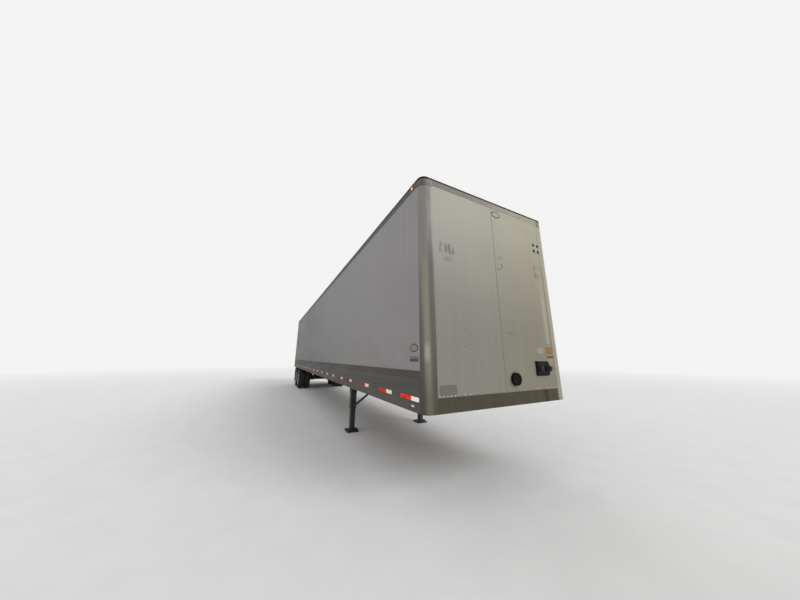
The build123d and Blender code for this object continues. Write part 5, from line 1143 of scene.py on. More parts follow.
@dataclass
class NoseBox:
    """The coupling box on the nose: two gladhands and a seven-way socket under its lid."""

    flange_thick: float = 0.006
    depth: float = 0.026
    bolt_inset: float = 0.011
    spread: float = 0.098
    socket_radius: float = 0.032
    shelf: Point = (0.045, 0.16, 0.03)
    shelf_thick: float = 0.004

    def build(self) -> None:
        """Makes the box and its couplings."""
        seat, width, height, reach = on_sheet("nose_box")
        face, length = seat + AHEAD * self.depth, reach - self.depth
        box = Shape().prism(rounded_outline(width, height, 0.02), seat, AHEAD, self.flange_thick, LEFT)
        box.prism(rounded_outline(width - 0.03, height - 0.03, 0.018), seat, AHEAD, self.depth, LEFT)
        box.piece("nose_box_housing", Look.cast, replaces=["nose_box"], bevel=0.003)
        bolts, hands, seals = Shape(), Shape(), Shape()
        for u in (-1, 1):
            for v in (-1, 1):
                corner = at(self.flange_thick, u * (width / 2 - self.bolt_inset), v * (height / 2 - self.bolt_inset))
                bolts.bolt(seat + corner, AHEAD, 0.005)
            self.gladhand(hands, seals, face + LEFT * u * self.spread, length)
        bolts.piece("nose_box_bolts", Look.worn_cast)
        hands.piece("gladhands", Look.worn_cast, bevel=0.0015)
        seals.piece("gladhand_seals", Look.rubber)
        self.socket(face, length)
        foot = seat + at(0.0, -width / 2 - 0.012, height / 2 + 0.004)
        deep, wide, tall = self.shelf
        shelf = Shape().block(foot, foot + at(self.shelf_thick, wide, tall))
        shelf.block(foot, foot + at(deep, wide, self.shelf_thick)).piece("nose_box_shelf", Look.pale, bevel=0.001)

    def gladhand(self, hands: Shape, seals: Shape, seat: Vector, length: float) -> None:
        """One coupling half.

        Args:
            hands: gathers the castings.
            seals: gathers the rubber seals.
            seat: where it stands on the box.
            length: how far ahead of the box it may go.
        """
        hands.lathe([(0.0, 0.017), (length * 0.35, 0.015), (length * 0.45, 0.013)], seat, AHEAD, 16)
        head = seat + AHEAD * length * 0.42
        hands.prism(rounded_outline(0.046, 0.082, 0.02), head, AHEAD, length * 0.3, LEFT)
        face = head + at(length * 0.3, 0.0, 0.008)
        hands.lathe([(0.0, 0.024), (length * 0.2, 0.023), (length * 0.26, 0.02)], face, AHEAD)
        seals.lathe([(length * 0.255, 0.017), (length * 0.275, 0.016), (length * 0.275, 0.008),
                     (length * 0.255, 0.007)], face, AHEAD, loop=True)
        lug = head + at(length * 0.3, -0.012, -0.036)
        hands.block(lug, lug + at(length * 0.24, 0.024, 0.01))

    def socket(self, seat: Vector, reach: float) -> None:
        """The seven-way socket with its sprung lid.

        Args:
            seat: where it stands on the box.
            reach: how far ahead it goes.
        """
        radius = self.socket_radius
        shell = Shape().lathe([(0.0, radius), (reach * 0.8, radius), (reach * 0.85, radius - 0.003)], seat, AHEAD, 28)
        shell.piece("seven_way_socket", Look.cast)
        lid = Shape().lathe([(reach * 0.86, radius + 0.002), (reach * 0.93, radius + 0.002),
                             (reach * 0.97, radius * 0.6)], seat, AHEAD, 28)
        hinge = seat + at(reach * 0.86, 0.0, radius + 0.004)
        lid.tube([hinge - LEFT * 0.018, hinge + LEFT * 0.018], 0.005).piece("seven_way_lid", Look.plastic)


@dataclass
class DocumentHolder:
    """The round canister on the nose: a body, a ribbed lid and a finger bar."""

    ribs: int = 28
    rib_radius: float = 0.0022
    bar_half: float = 0.006
    sunk: float = 0.86
    rim: float = 0.93

    def build(self) -> None:
        """Makes the canister in place of its plain solid."""
        seat, width, _, reach = on_sheet("document_holder")
        radius = width / 2
        body = Shape().lathe([(0.0, radius), (0.003, radius), (0.004, radius * 0.95), (reach * 0.62, radius * 0.93)],
                             seat, AHEAD, 48)
        body.piece("holder_body", Look.plastic, replaces=["document_holder"])
        sunk, rim = reach * self.sunk, reach * self.rim
        lid = Shape().lathe([(reach * 0.55, radius * 0.965), (sunk, radius * 0.965), (rim, radius * 0.93),
                             (rim, radius * 0.75), (sunk, radius * 0.7), (sunk, 0.0)], seat, AHEAD, 48)
        for spoke in spokes(LEFT, UP, self.ribs):
            foot = seat + AHEAD * reach * 0.58 + spoke * radius * 0.955
            lid.tube([foot, foot + AHEAD * reach * 0.26], self.rib_radius, 6)
        bar = seat + AHEAD * sunk
        lid.block(bar - at(0.0, radius * 0.6, self.bar_half), bar + at(reach * 0.08, radius * 0.6, self.bar_half))
        lid.piece("holder_lid", Look.plastic)


@dataclass
class ReflectiveTape:
    """Red and white strips along both sides, the rear sill, the guard and the upper rear corners."""

    height: float = 0.05
    thick: float = 0.0006
    white: float = 0.18
    strip: float = 0.457
    rise: float = 0.145
    starts: tuple[float, ...] = (0.128, 0.849, 1.767, 2.76, 3.48, 4.37, 5.14)
    pitch: float = 0.86
    rear_gap: float = 0.05
    sill_rows: tuple[Pair, ...] = ((-1.03, -0.785), (-0.478, 0.478), (0.785, 1.03))
    corner: float = 0.305
    corner_inset: float = 0.012

    def build(self) -> None:
        """Makes the tape, one piece a colour."""
        red, white = Shape(), Shape()
        starts = [*self.starts]
        while starts[-1] + self.pitch + self.strip < VAN.nose - VAN.tail - self.rear_gap:
            starts.append(starts[-1] + self.pitch)
        z0 = VAN.rail_low + self.rise - self.height / 2
        z1 = VAN.rail_low + self.rise + self.height / 2
        for side in Side:
            y0, y1 = side * VAN.half, side * (VAN.half + self.thick)
            for front in (VAN.nose - start for start in starts):
                white.block((front - self.white, y0, z0), (front, y1, z1))
                red.block((front - self.strip, y0, z0), (front - self.white, y1, z1))
        for start, end in self.sill_rows:
            self.across_rear(red, white, VAN.lamp_row, start, end, VAN.tail)
        lo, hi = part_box("underride_guard")
        self.across_rear(red, white, lo.z + 0.05, lo.y + 0.02, hi.y - 0.02, lo.x)
        face, top = VAN.tail - self.thick, VAN.roof - self.corner_inset
        for side in Side:
            y_out = side * (VAN.half - self.corner_inset)
            y_in = y_out - side * self.height
            white.block((face, y_in, top - self.corner), (VAN.tail, y_out, top))
            white.block((face, y_out - side * self.corner, top - self.height * 0.6), (VAN.tail, y_in, top))
        red.piece("red_tape", Look.tape_red)
        white.piece("white_tape", Look.tape_white)

    def across_rear(self, red: Shape, white: Shape, z: float, first: float, last: float, face: float) -> None:
        """A row of strips across the rear.

        Args:
            red: gathers the red ones.
            white: gathers the white ones.
            z: the row's middle height.
            first: where it starts.
            last: where it ends.
            face: the face that it is stuck to.
        """
        places = run(first, last, self.strip / 2)
        for number, (start, end) in enumerate(zip(places, places[1:])):
            strip = red if number % 2 else white
            strip.block((face - self.thick, start, z - self.height / 2), (face, end, z + self.height / 2))


@dataclass
class SideWalls:
    """Joint filler and flush rivets between the side plates, and rivets along the rails."""

    joint_row: float = 0.018
    joint_pitch: float = 0.11
    joint_top: float = 0.105
    rail_pitch: float = 0.305
    band_drop: float = 0.015
    top_drop: float = 0.093

    def build(self) -> None:
        """Makes the side walls' small pieces."""
        filler = Shape()
        rivets = Rivets("side_plate_rivets", Look.side, 0.0042, 0.0009, 6)
        rail = Rivets("side_rail_rivets", Look.stud, 0.005, 0.0018, 6)
        z0, z1 = VAN.rail_high, high("top_rails").z - self.joint_top
        for side in Side:
            places = levels(f"side_panels_{side.word}", 0)
            y = side * VAN.skin
            for start, end in zip(places[1::2], places[2::2]):
                filler.block((start - 0.0004, y - side * 0.004, z0), (end + 0.0004, y + side * 0.0003, z1))
                for x in (start - self.joint_row, end + self.joint_row):
                    rivets.row(at(x, y, z0 + 0.05), at(x, y, z1 - 0.05), self.joint_pitch, side.out)
            x0, x1 = places[-1] - 0.05, places[0] + 0.05
            for y, z, pitch in (
                (side * (VAN.skin + 0.003), z0 - self.band_drop, self.rail_pitch),
                (side * VAN.half, VAN.roof - self.top_drop, self.rail_pitch / 2),
            ):
                rail.row(at(x0, y, z), at(x1, y, z), pitch, side.out)
        filler.piece("side_joint_filler", Look.joint)
        rivets.build()
        rail.build()


@dataclass
class Roof:
    """Rivet lines over the bows and the sheet's cross seams."""

    half: float = 1.2
    pitch: float = 0.16

    def build(self) -> None:
        """Makes the roof's small pieces."""
        rivets = Rivets("roof_rivets", Look.rivet, 0.005, 0.0014, 6)
        z = high("roof_sheet").z
        for x in levels("roof_bows", 0, 0.03)[::3]:
            rivets.row(at(x, -self.half, z), at(x, self.half, z), self.pitch, UP)
        rivets.build()


@dataclass
class LoadSpace:
    """Kick plates along the foot of the walls and screws in the floor."""

    plate_high: float = 0.3
    plate_lap: float = 0.249
    plate_thick: float = 0.0015
    half: float = 1.2
    pitch: float = 0.12

    def build(self) -> None:
        """Makes the inside trim."""
        plates = Shape()
        screws = Rivets("floor_screws", Look.greased, 0.0045, 0.0006, 6)
        strip = min(abs(y) for y in levels("wall_joint_strips", 1))
        for side in Side:
            plates.block((low("floor_boards").x + 0.01, side * strip, VAN.rail_high - self.plate_lap),
                         (VAN.nose - 0.16, side * (strip - self.plate_thick), VAN.floor + self.plate_high))
        for x in levels("crossmembers", 0, 0.03)[::3]:
            screws.row(at(x, -self.half, VAN.floor), at(x, self.half, VAN.floor), self.pitch, UP)
        plates.piece("kick_plates", Look.zinc_sheet)
        screws.build()


@dataclass
class RearEnd:
    """Door gaskets, rod fittings, hinge bolts, lamp bodies and bumper bolts."""

    lip: float = 0.004
    seal: float = 0.012
    strap_thick: float = 0.008
    strap_bolts: Point = (0.03, 0.11, 0.19)
    rods: tuple[Point, ...] = ((0.93, -1, 0.29), (0.26, 1, 0.43))
    rod_back: float = 0.03
    rod_radius: float = 0.0135
    collar: float = 0.019
    cam_half: float = 0.013
    guide_inset: float = 0.18
    guide_middle: float = 0.16
    guide_bolts: Pair = (-0.033, 0.033)
    bumper_bolts: Point = (0.1, -0.06, 0.06)
    stop_lamps: Pair = (0.56, 0.7)

    def build(self) -> None:
        """Makes the rear's pieces."""
        for side in Side:
            body = f"door_{side.word}"
            self.gasket(side, body)
            self.hinge_bolts(side, body)
            self.lock_gear(side, body)
        self.bumpers()
        self.lamps()

    def gasket(self, side: Side, body: str) -> None:
        """A rubber seal round the door's edge, with two lips."""
        lo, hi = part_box(f"rear_door_{side.word}")
        lip, wide = self.lip, self.seal
        x = lo.x - 0.001
        seal = Shape()
        for y0, y1, z0, z1 in (
            (lo.y - lip, lo.y + wide, lo.z - lip, hi.z + lip),
            (hi.y - wide, hi.y + lip, lo.z - lip, hi.z + lip),
            (lo.y + wide, hi.y - wide, lo.z - lip, lo.z + wide),
            (lo.y + wide, hi.y - wide, hi.z - wide, hi.z + lip),
        ):
            seal.block((x, y0, z0), (x + wide, y1, z1))
        seal.piece(f"door_seal_{side.word}", Look.rubber, body)

    def hinge_bolts(self, side: Side, body: str) -> None:
        """Three bolts through each strap."""
        node = f"door_hinges_{side.word}"
        heights = levels(node, 2)
        inner = min(abs(low(node).y), abs(high(node).y))
        bolts = Shape()
        for z0, z1 in zip(heights[0::2], heights[1::2]):
            for reach in self.strap_bolts:
                seat = at(VAN.tail - self.strap_thick, side * (inner + reach), (z0 + z1) / 2)
                bolts.bolt(seat, BACK, 0.0075)
        bolts.piece(f"hinge_bolts_{side.word}", Look.rivet, body)

    def lock_gear(self, side: Side, body: str) -> None:
        """Rods, cams, guides and handles, as forged and bent steel."""
        node = f"lock_rods_{side.word}"
        lo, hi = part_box(node)
        bars = Shape()
        x = VAN.tail - self.rod_back
        for out, way, rise in self.rods:
            y = side * out
            bars.tube([at(x, y, lo.z), at(x, y, hi.z)], self.rod_radius, 20)
            for z in (lo.z + self.cam_half, hi.z - self.cam_half):
                bars.blocks(at(VAN.tail, y, z), ((-0.05, -0.02, -self.cam_half), (-0.005, 0.02, self.cam_half)))
                bars.lathe([(-self.cam_half, self.collar), (self.cam_half, self.collar)], at(x, y, z), UP)
            self.guides(bars, y, side)
            self.handle(bars, at(x, y, VAN.floor + rise), way * side)
        bars.piece(f"lock_gear_{side.word}", Look.zinc, body, replaces=[node], bevel=0.0012)

    def guides(self, bars: Shape, y: float, side: Side) -> None:
        """Two-bolt bearing brackets that hold a rod to the door."""
        lo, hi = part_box(f"rear_door_{side.word}")
        centre = (lo.z + hi.z) / 2 + self.guide_middle
        for z in (lo.z + self.guide_inset, centre, hi.z - self.guide_inset):
            seat = at(VAN.tail, y, z)
            bars.blocks(seat, ((-0.006, -0.022, -0.045), (0.0, 0.022, 0.045)),
                        ((-0.024, -0.015, -0.018), (-0.005, 0.015, 0.018)))
            bars.lathe([(-0.018, self.collar), (0.018, self.collar)], at(VAN.tail - 0.029, y, z), UP)
            for rise in self.guide_bolts:
                bars.bolt(seat + at(-0.006, 0.0, rise), BACK, 0.006)

    def handle(self, bars: Shape, pivot: Vector, way: int) -> None:
        """A flat handle with a turned-out grip, its pivot on the rod and its catch plate."""
        bars.blocks(pivot, ((-0.016, -0.02, -0.022), (0.016, 0.02, 0.022)),
                    ((-0.006, way * 0.015, -0.013), (0.002, way * 0.3, 0.013)))
        grip = ((-0.002, 0.29), (-0.014, 0.33), (-0.014, 0.4))
        bars.tube([pivot + at(back, way * reach, 0.0) for back, reach in grip], 0.011, 12)
        bars.blocks(at(VAN.tail, pivot.y + way * 0.26, pivot.z), ((-0.004, -0.03, -0.04), (0.0, 0.03, 0.04)),
                    ((-0.026, -0.012, 0.016), (-0.003, 0.012, 0.024)),
                    ((-0.026, -0.012, -0.024), (-0.003, 0.012, -0.016)))

    def bumpers(self) -> None:
        """Cup washers with sunk bolts on the dock bumpers, the cups near black as painted shade."""
        bolts, cups = Shape(), Shape()
        lo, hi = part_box("dock_bumpers")
        inset, *shifts = self.bumper_bolts
        for side in Side:
            for shift in shifts:
                seat = at(lo.x, side * (hi.y - inset) + shift, (lo.z + hi.z) / 2)
                cups.lathe([(-0.001, 0.022), (0.0015, 0.021), (0.0015, 0.016), (0.0004, 0.014), (0.0004, 0.0)],
                           seat, BACK)
                bolts.lathe([(0.0004, 0.009), (0.0012, 0.0085)], seat, BACK, 6)
        cups.piece("bumper_cups", Look.recess_shade)
        bolts.piece("bumper_bolts", Look.greased)

    def lamps(self) -> None:
        """Rubber grommets round the stop lamps."""
        rings = Shape()
        section = [(0.0, 0.0525), (0.006, 0.053), (0.009, 0.058), (0.006, 0.065), (0.0, 0.066)]
        for side in Side:
            for y in self.stop_lamps:
                rings.lathe(section, at(VAN.tail, side * y, VAN.lamp_row), BACK, 28, loop=True)
        rings.piece("lamp_grommets", Look.rubber)


def square_walk(steps: int) -> list[Pair]:
    """A walk round the unit square from its right-hand side.

    Args:
        steps: how many, a multiple of 8.

    Returns:
        The places, each part from -1 to 1.
    """
    walk = []
    for k in range(steps):
        leg, share = divmod(k * 8 / steps, 2)
        walk.append(((1.0, share - 1), (1 - share, 1.0), (-1.0, 1 - share), (share - 1, -1.0))[int(leg)])
    return walk


@dataclass
class WheelEnd:
    """One pair of wheels and tyres on a hub."""

    side: Side
    end: str
    spacing: float = 0.165
    holes: int = 10
    nuts: int = 10
    cap_bolts: int = 6
    nut_circle: float = 0.143
    cap_circle: float = 0.0745
    disc_thick: float = 0.011
    recess_shade_ring: Pair = (0.168, 0.244)
    recess_shade_radius: float = 0.026
    hub_bore: float = 0.095
    rim_seat: float = 0.262
    groove_depth: float = 0.012
    groove_width: float = 0.011
    grooves: Pair = (0.066, 0.024)
    groove_zone: Pair = (0.49, 0.08)
    zigzag: float = 0.0024
    segments: int = 96
    dish_start: float = 0.155
    dish_width: float = 0.105
    dish_foot: float = 0.012
    dish_depth: float = 0.125

    def build(self) -> None:
        """Makes the pair's tyres, discs, hub and nuts."""
        word = f"{self.side.word}_{self.end}"
        body = f"wheels_{word}"
        lo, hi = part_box(f"tyres_{word}")
        centre, out = (lo + hi) / 2, self.side.out
        section = self.tyre_section((hi.z - lo.z) / 2, (hi.y - lo.y - 2 * self.spacing) / 2)
        tyres, rims = Shape(), Shape()
        for shift in (self.spacing, -self.spacing):
            self.tyre(tyres, section, centre + out * shift)
            rims.lathe(self.rim_section(), centre + out * shift, out, 64, loop=True)
        tyres.piece(f"tread_and_sidewalls_{word}", Look.tyre, body, replaces=[f"tyres_{word}"])
        for facing in (1, -1):
            self.disc(rims, centre, facing)
        rims.piece(f"disc_wheels_{word}", Look.wheel, body, replaces=[f"wheel_{word}"], smooth=35)
        self.hub(centre, word, body)

    def tyre(self, shape: Shape, section: list[Pair], centre: Vector) -> None:
        """One tyre, with its grooves in a slight zigzag.

        Args:
            shape: gathers the tyres.
            section: the tyre's section.
            centre: its middle.
        """
        first = len(shape.points)
        above, within = self.groove_zone
        shape.lathe(section, centre, self.side.out, self.segments, loop=True)
        for number, (place, radius) in enumerate(section):
            if radius > above and abs(place) < within:
                for k in range(self.segments):
                    swing = self.zigzag if k % 2 else -self.zigzag
                    shape.points[first + number * self.segments + k] += self.side.out * swing

    def tyre_section(self, radius: float, half: float) -> list[Pair]:
        """The tyre's section: bead, bulged sidewall, shoulder and five ribs between four grooves.

        Args:
            radius: the tread's radius.
            half: half the section's width.

        Returns:
            Pairs of distance from the middle and radius.
        """
        wall = ((0.035, 0.288), (0.022, 0.296), (0.01, 0.318), (0.002, 0.35), (0.0, 0.385), (0.002, 0.42),
                (0.008, 0.452), (0.013, 0.476), (0.016, 0.482), (0.017, 0.494), (0.026, radius - 0.004))
        right = [(half - inset, height) for inset, height in (*wall, (0.034, radius - 0.001))]
        floor = radius - self.groove_depth
        for place in self.grooves:
            outer, inner = place + self.groove_width / 2, place - self.groove_width / 2
            right += [(outer, radius), (outer - 0.0018, floor), (inner + 0.0018, floor), (inner, radius)]
        left = [(-place, height) for place, height in reversed(right)]
        return right + left + [(-half + 0.035, 0.286), (half - 0.035, 0.286)]

    def rim_section(self) -> list[Pair]:
        """The rim's section: two flanges and a drop centre."""
        return [(0.121, 0.3), (0.124, 0.296), (0.119, 0.286), (0.112, 0.283), (0.062, 0.28), (0.045, 0.262),
                (-0.03, 0.262), (-0.048, 0.28), (-0.112, 0.283), (-0.119, 0.286), (-0.124, 0.296),
                (-0.121, 0.3), (-0.113, 0.29), (-0.104, 0.2865), (-0.052, 0.2845), (-0.034, 0.2675),
                (0.049, 0.2675), (0.066, 0.2845), (0.104, 0.2865), (0.113, 0.29)]

    def dish(self, radius: float) -> float:
        """How far the disc's face stands out at a radius."""
        share = min(1.0, max(0.0, (radius - self.dish_start) / self.dish_width))
        return self.dish_foot + self.dish_depth * share * share * (3 - 2 * share)

    def disc(self, shape: Shape, centre: Vector, facing: int) -> None:
        """A dished disc with a ring of hand holes.

        Args:
            shape: gathers the discs.
            centre: the pair's middle.
            facing: 1 for the outer disc and -1 for the inner.
        """
        out = self.side.out
        first, second = across(out)
        sector = 2 * math.pi / self.holes
        inner, outer = self.recess_shade_ring
        ring = (inner + outer) / 2
        walk = square_walk(16)
        count = len(walk)
        border = [(inner + (outer - inner) * (v + 1) / 2, u * sector / 2) for u, v in walk]
        circle = [(self.recess_shade_radius * u / math.hypot(u, v), self.recess_shade_radius * v / math.hypot(u, v)) for u, v in walk]
        base, layer = len(shape.points), self.holes * 2 * count
        for thick in (0.0, self.disc_thick):
            for number in range(self.holes):
                for radius, turn in border + [(ring + v, u / ring) for u, v in circle]:
                    turn += sector * number
                    spoke = first * math.cos(turn) + second * math.sin(turn)
                    shape.points.append(centre + out * facing * (self.dish(radius) + thick) + spoke * radius)
        for start in range(base, base + layer, 2 * count):
            shape.band(start, start + count, count)
            shape.band(start + layer, start + layer + count, count)
            shape.band(start + count, start + layer + count, count)
        for start, end in ((self.hub_bore, inner), (outer, self.rim_seat)):
            steps = run(start, end, 0.018)
            section = [(facing * self.dish(radius), radius) for radius in steps]
            section += [(facing * (self.dish(radius) + self.disc_thick), radius) for radius in reversed(steps)]
            shape.lathe(section, centre, out, 80, loop=True)

    def hub(self, centre: Vector, word: str, body: str) -> None:
        """Hub, oil cap, drum and nuts.

        Args:
            centre: the pair's middle.
            word: the wheel end's name.
            body: the body it rides on.
        """
        out = self.side.out
        hub = Shape().lathe([(-0.2, 0.09), (0.024, 0.094), (0.026, 0.112), (0.05, 0.108), (0.07, 0.085), (0.13, 0.078),
                             (0.135, 0.086), (0.145, 0.086), (0.147, 0.062), (0.17, 0.058), (0.174, 0.045)],
                            centre, out, 48)
        hub.piece(f"hub_{word}", Look.zinc, body)
        drum = Shape().lathe([(-0.272, 0.222), (-0.262, 0.222), (-0.258, 0.216), (-0.06, 0.21), (-0.045, 0.19),
                              (-0.02, 0.12), (-0.02, 0.094), (-0.035, 0.094), (-0.06, 0.19), (-0.07, 0.206),
                              (-0.272, 0.206)], centre, out, 56, loop=True)
        drum.piece(f"brake_drum_{word}", Look.beams, body)
        nuts = Shape()
        face = centre + out * (self.dish(self.nut_circle) + self.disc_thick)
        for spoke in spokes(*across(out), self.nuts, 0.5):
            seat = face + spoke * self.nut_circle
            nuts.lathe([(0.0, 0.022), (0.004, 0.022)], seat, out, 16)
            nuts.lathe([(0.003, 0.0185), (0.024, 0.0185), (0.027, 0.016)], seat, out, 6)
            nuts.lathe([(0.026, 0.011), (0.037, 0.0105)], seat, out, 10)
        for spoke in spokes(*across(out), self.cap_bolts):
            nuts.bolt(centre + out * 0.1448 + spoke * self.cap_circle, out, 0.0055)
        nuts.piece(f"wheel_nuts_{word}", Look.nut, body)


@dataclass
class LeafSprings:
    """Three-leaf packs with their clips, U-bolts and top plates."""

    leaves: int = 3
    half: float = 0.6
    half_wide: float = 0.0375
    seat_thick: float = 0.05
    tip_thick: float = 0.014
    steps: int = 20
    seat_gap: float = 0.0005
    leaf_gap: float = 0.0012
    tip_gap: float = 0.0004
    clips: Pair = (-0.42, 0.42)
    axle: float = 0.508
    loop_half: float = 0.046
    loops: Pair = (-0.052, 0.052)

    def build(self) -> None:
        """Makes all four packs."""
        packs, bolts = Shape(), Shape()
        lo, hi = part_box("leaf_springs")
        for x in self.axle_places():
            for side in Side:
                y = side * (hi.y - self.half_wide)
                self.pack(packs, at(x, y, lo.z), hi.z - self.tip_thick - lo.z)
                self.clamp(bolts, x, y, lo.z)
        packs.piece("spring_leaves", Look.beams, "tandem", replaces=["leaf_springs"], smooth=50)
        bolts.piece("spring_clamps", Look.chassis, "tandem", bevel=0.001)

    @staticmethod
    def axle_places() -> list[float]:
        """Where the axles stand along the trailer."""
        return [middle(f"tyres_left_{end}").x for end in ("front", "rear")]

    def pack(self, shape: Shape, seat: Vector, arch: float) -> None:
        """One pack of leaves with its two clips.

        Args:
            shape: gathers the packs.
            seat: the pack's lowest point, at the axle.
            arch: how far the tips stand above it.
        """
        for number in range(self.leaves):
            rings = []
            for share in run(-1.0, 1.0, 2.0 / self.steps):
                curve = share * share
                stack = (self.seat_thick * (1 - curve) + self.tip_thick * curve) / self.leaves
                thick = stack - self.leaf_gap * (1 - curve) - self.tip_gap * curve
                foot = seat + at(share * self.half, 0.0, arch * curve + self.seat_gap + number * stack)
                rings.append([foot + at(0.0, u * self.half_wide, v * thick)
                              for u, v in ((-1, 0), (1, 0), (1, 1), (-1, 1))])
            shape.loft(rings)
        for share in self.clips:
            clip = seat + at(share * self.half, 0.0, arch * share * share)
            shape.blocks(clip, ((-0.012, -0.041, -0.003), (0.012, 0.041, 0.05)))

    def clamp(self, shape: Shape, x: float, y: float, z_seat: float) -> None:
        """A top plate, two U-bolts and the bottom plate under the axle."""
        top, below = at(x, y, z_seat + 0.0505), at(x, y, self.axle - 0.078)
        shape.blocks(top, ((-0.075, -0.055, 0.0), (0.075, 0.055, 0.016)))
        shape.blocks(below, ((-0.072, -0.062, 0.0), (0.072, 0.062, 0.014)))
        for shift in self.loops:
            half = self.loop_half
            shape.tube([below + at(shift, -half, -0.02), top + at(shift, -half, 0.01),
                        top + at(shift, 0.01 - half, 0.022), top + at(shift, half - 0.01, 0.022),
                        top + at(shift, half, 0.01), below + at(shift, half, -0.02)], 0.008)
            for v in (-half, half):
                shape.bolt(below + at(shift, v, 0.0), DOWN, 0.011)


@dataclass
class Tandem:
    """Details on the sliding tandem: hanger bolts, brake gear, tank straps, flap strips and lock holes."""

    hanger: float = 0.62
    slide: float = 0.53
    cheek: float = 0.046
    eye: float = 0.668
    keeper: float = 0.8
    pivot: float = 0.7975
    pivot_end: float = 0.058
    chamber: Point = (-0.16, 0.33, 0.6)
    chamber_turn: float = 0.4
    tank_radius: float = 0.11
    tank_straps: Pair = (-0.25, 0.25)
    flap: float = 0.6
    flap_bolts: tuple[float, ...] = (0.08, 0.36, 0.64, 0.92)
    pin_pitch: float = 0.152
    pin_end: float = 0.25
    pin_rise: float = 0.032
    pin_radius: float = 0.0165

    def build(self) -> None:
        """Makes the tandem's pieces."""
        self.hangers()
        self.chambers()
        self.tanks()
        self.flaps()
        self.rail_holes()

    def hangers(self) -> None:
        """Bolts through the rod eyes and over the springs' ends, and a nut on each equalizer pivot."""
        bolts = Shape()
        places = self.hanger_places()
        for x in places:
            for y, way in ((side * self.slide, way) for side in Side for way in (-1, 1)):
                axis = LEFT * way
                bolts.bolt(at(x, y + way * self.cheek, self.eye), axis, 0.015)
                if x == places[1]:
                    pivot = at(x, y + way * self.pivot_end, self.pivot)
                    bolts.lathe([(-0.004, 0.027), (0.001, 0.027)], pivot, axis, 24)
                    bolts.lathe([(0.0, 0.022), (0.013, 0.022), (0.015, 0.019)], pivot, axis, 6)
                else:
                    bolts.bolt(at(x, y + way * self.cheek, self.keeper), axis, 0.009)
        bolts.piece("hanger_bolts", Look.chassis, "tandem")

    def hanger_places(self) -> list[float]:
        """Where the three pairs of hangers stand."""
        front, rear = LeafSprings.axle_places()
        return [front + self.hanger, (front + rear) / 2, rear - self.hanger]

    def chambers(self) -> None:
        """Clamp bands, bolts, pushrods, slack adjusters and camshafts of the brakes."""
        gear = Shape()
        back, out, z = self.chamber
        for x in LeafSprings.axle_places():
            for side in Side:
                mouth = at(x + back, side * out, z)
                gear.lathe([(0.056, 0.088), (0.058, 0.102), (0.078, 0.102), (0.08, 0.088)], mouth, BACK, 32, loop=True)
                for spoke in spokes(LEFT, UP, 2, self.chamber_turn / math.pi):
                    gear.bolt(mouth + BACK * 0.058 + spoke * 0.105, AHEAD, 0.006)
                    gear.bolt(mouth + AHEAD * 0.012 + spoke * 0.055, AHEAD, 0.009)
                gear.lathe([(0.205, 0.03), (0.215, 0.028), (0.222, 0.018)], mouth, BACK)
                yoke = mouth + AHEAD * 0.06
                gear.tube([yoke - LEFT * 0.024, yoke + LEFT * 0.024], 0.009, 12)
        gear.piece("brake_gear", Look.chassis, "tandem")

    def tanks(self) -> None:
        """Straps of the air tanks."""
        straps = Shape()
        radius = self.tank_radius
        section = [(-0.02, radius), (0.02, radius), (0.02, radius + 0.003), (-0.02, radius + 0.003)]
        for x in self.hanger_places()[:2]:
            for y in self.tank_straps:
                straps.lathe(section, at(x, y, high("air_tanks").z - radius), LEFT, 40, loop=True)
        straps.piece("tank_straps", Look.zinc, "tandem")

    def flaps(self) -> None:
        """Clamp strips and bolts over the mud flaps and a stiff hem at their foot."""
        strips = Shape()
        lo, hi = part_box("mud_flaps")
        face = lo.x - 0.004
        for side in Side:
            y0, y1 = sorted((side * (hi.y - 0.02), side * (hi.y - self.flap + 0.02)))
            for z0, z1 in ((hi.z - 0.045, hi.z - 0.012), (lo.z + 0.012, lo.z + 0.034)):
                strips.block((face, y0, z0), (lo.x, y1, z1))
            for share in self.flap_bolts:
                strips.bolt(at(face, y0 + (y1 - y0) * share, hi.z - 0.028), BACK, 0.006)
        strips.piece("flap_strips", Look.zinc, "tandem", bevel=0.0008)

    def rail_holes(self) -> None:
        """The row of lock holes in each slide rail's web, each a disc of painted shade with its rim."""
        rims, dark = Shape(), Shape()
        lo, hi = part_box("slide_rails")
        radius = self.pin_radius
        for side in Side:
            for x in run(lo.x + self.pin_end, hi.x - self.pin_end, self.pin_pitch):
                seat = at(x, side * hi.y, lo.z + self.pin_rise)
                dark.lathe([(-0.001, radius), (0.0004, radius)], seat, side.out, 14)
                rims.lathe([(0.0, radius), (0.0012, 0.017), (0.0012, 0.02), (0.0, 0.0205)], seat, side.out, 14, True)
        dark.piece("rail_lock_hole_shades", Look.recess_shade)
        rims.piece("rail_hole_rims", Look.beams)


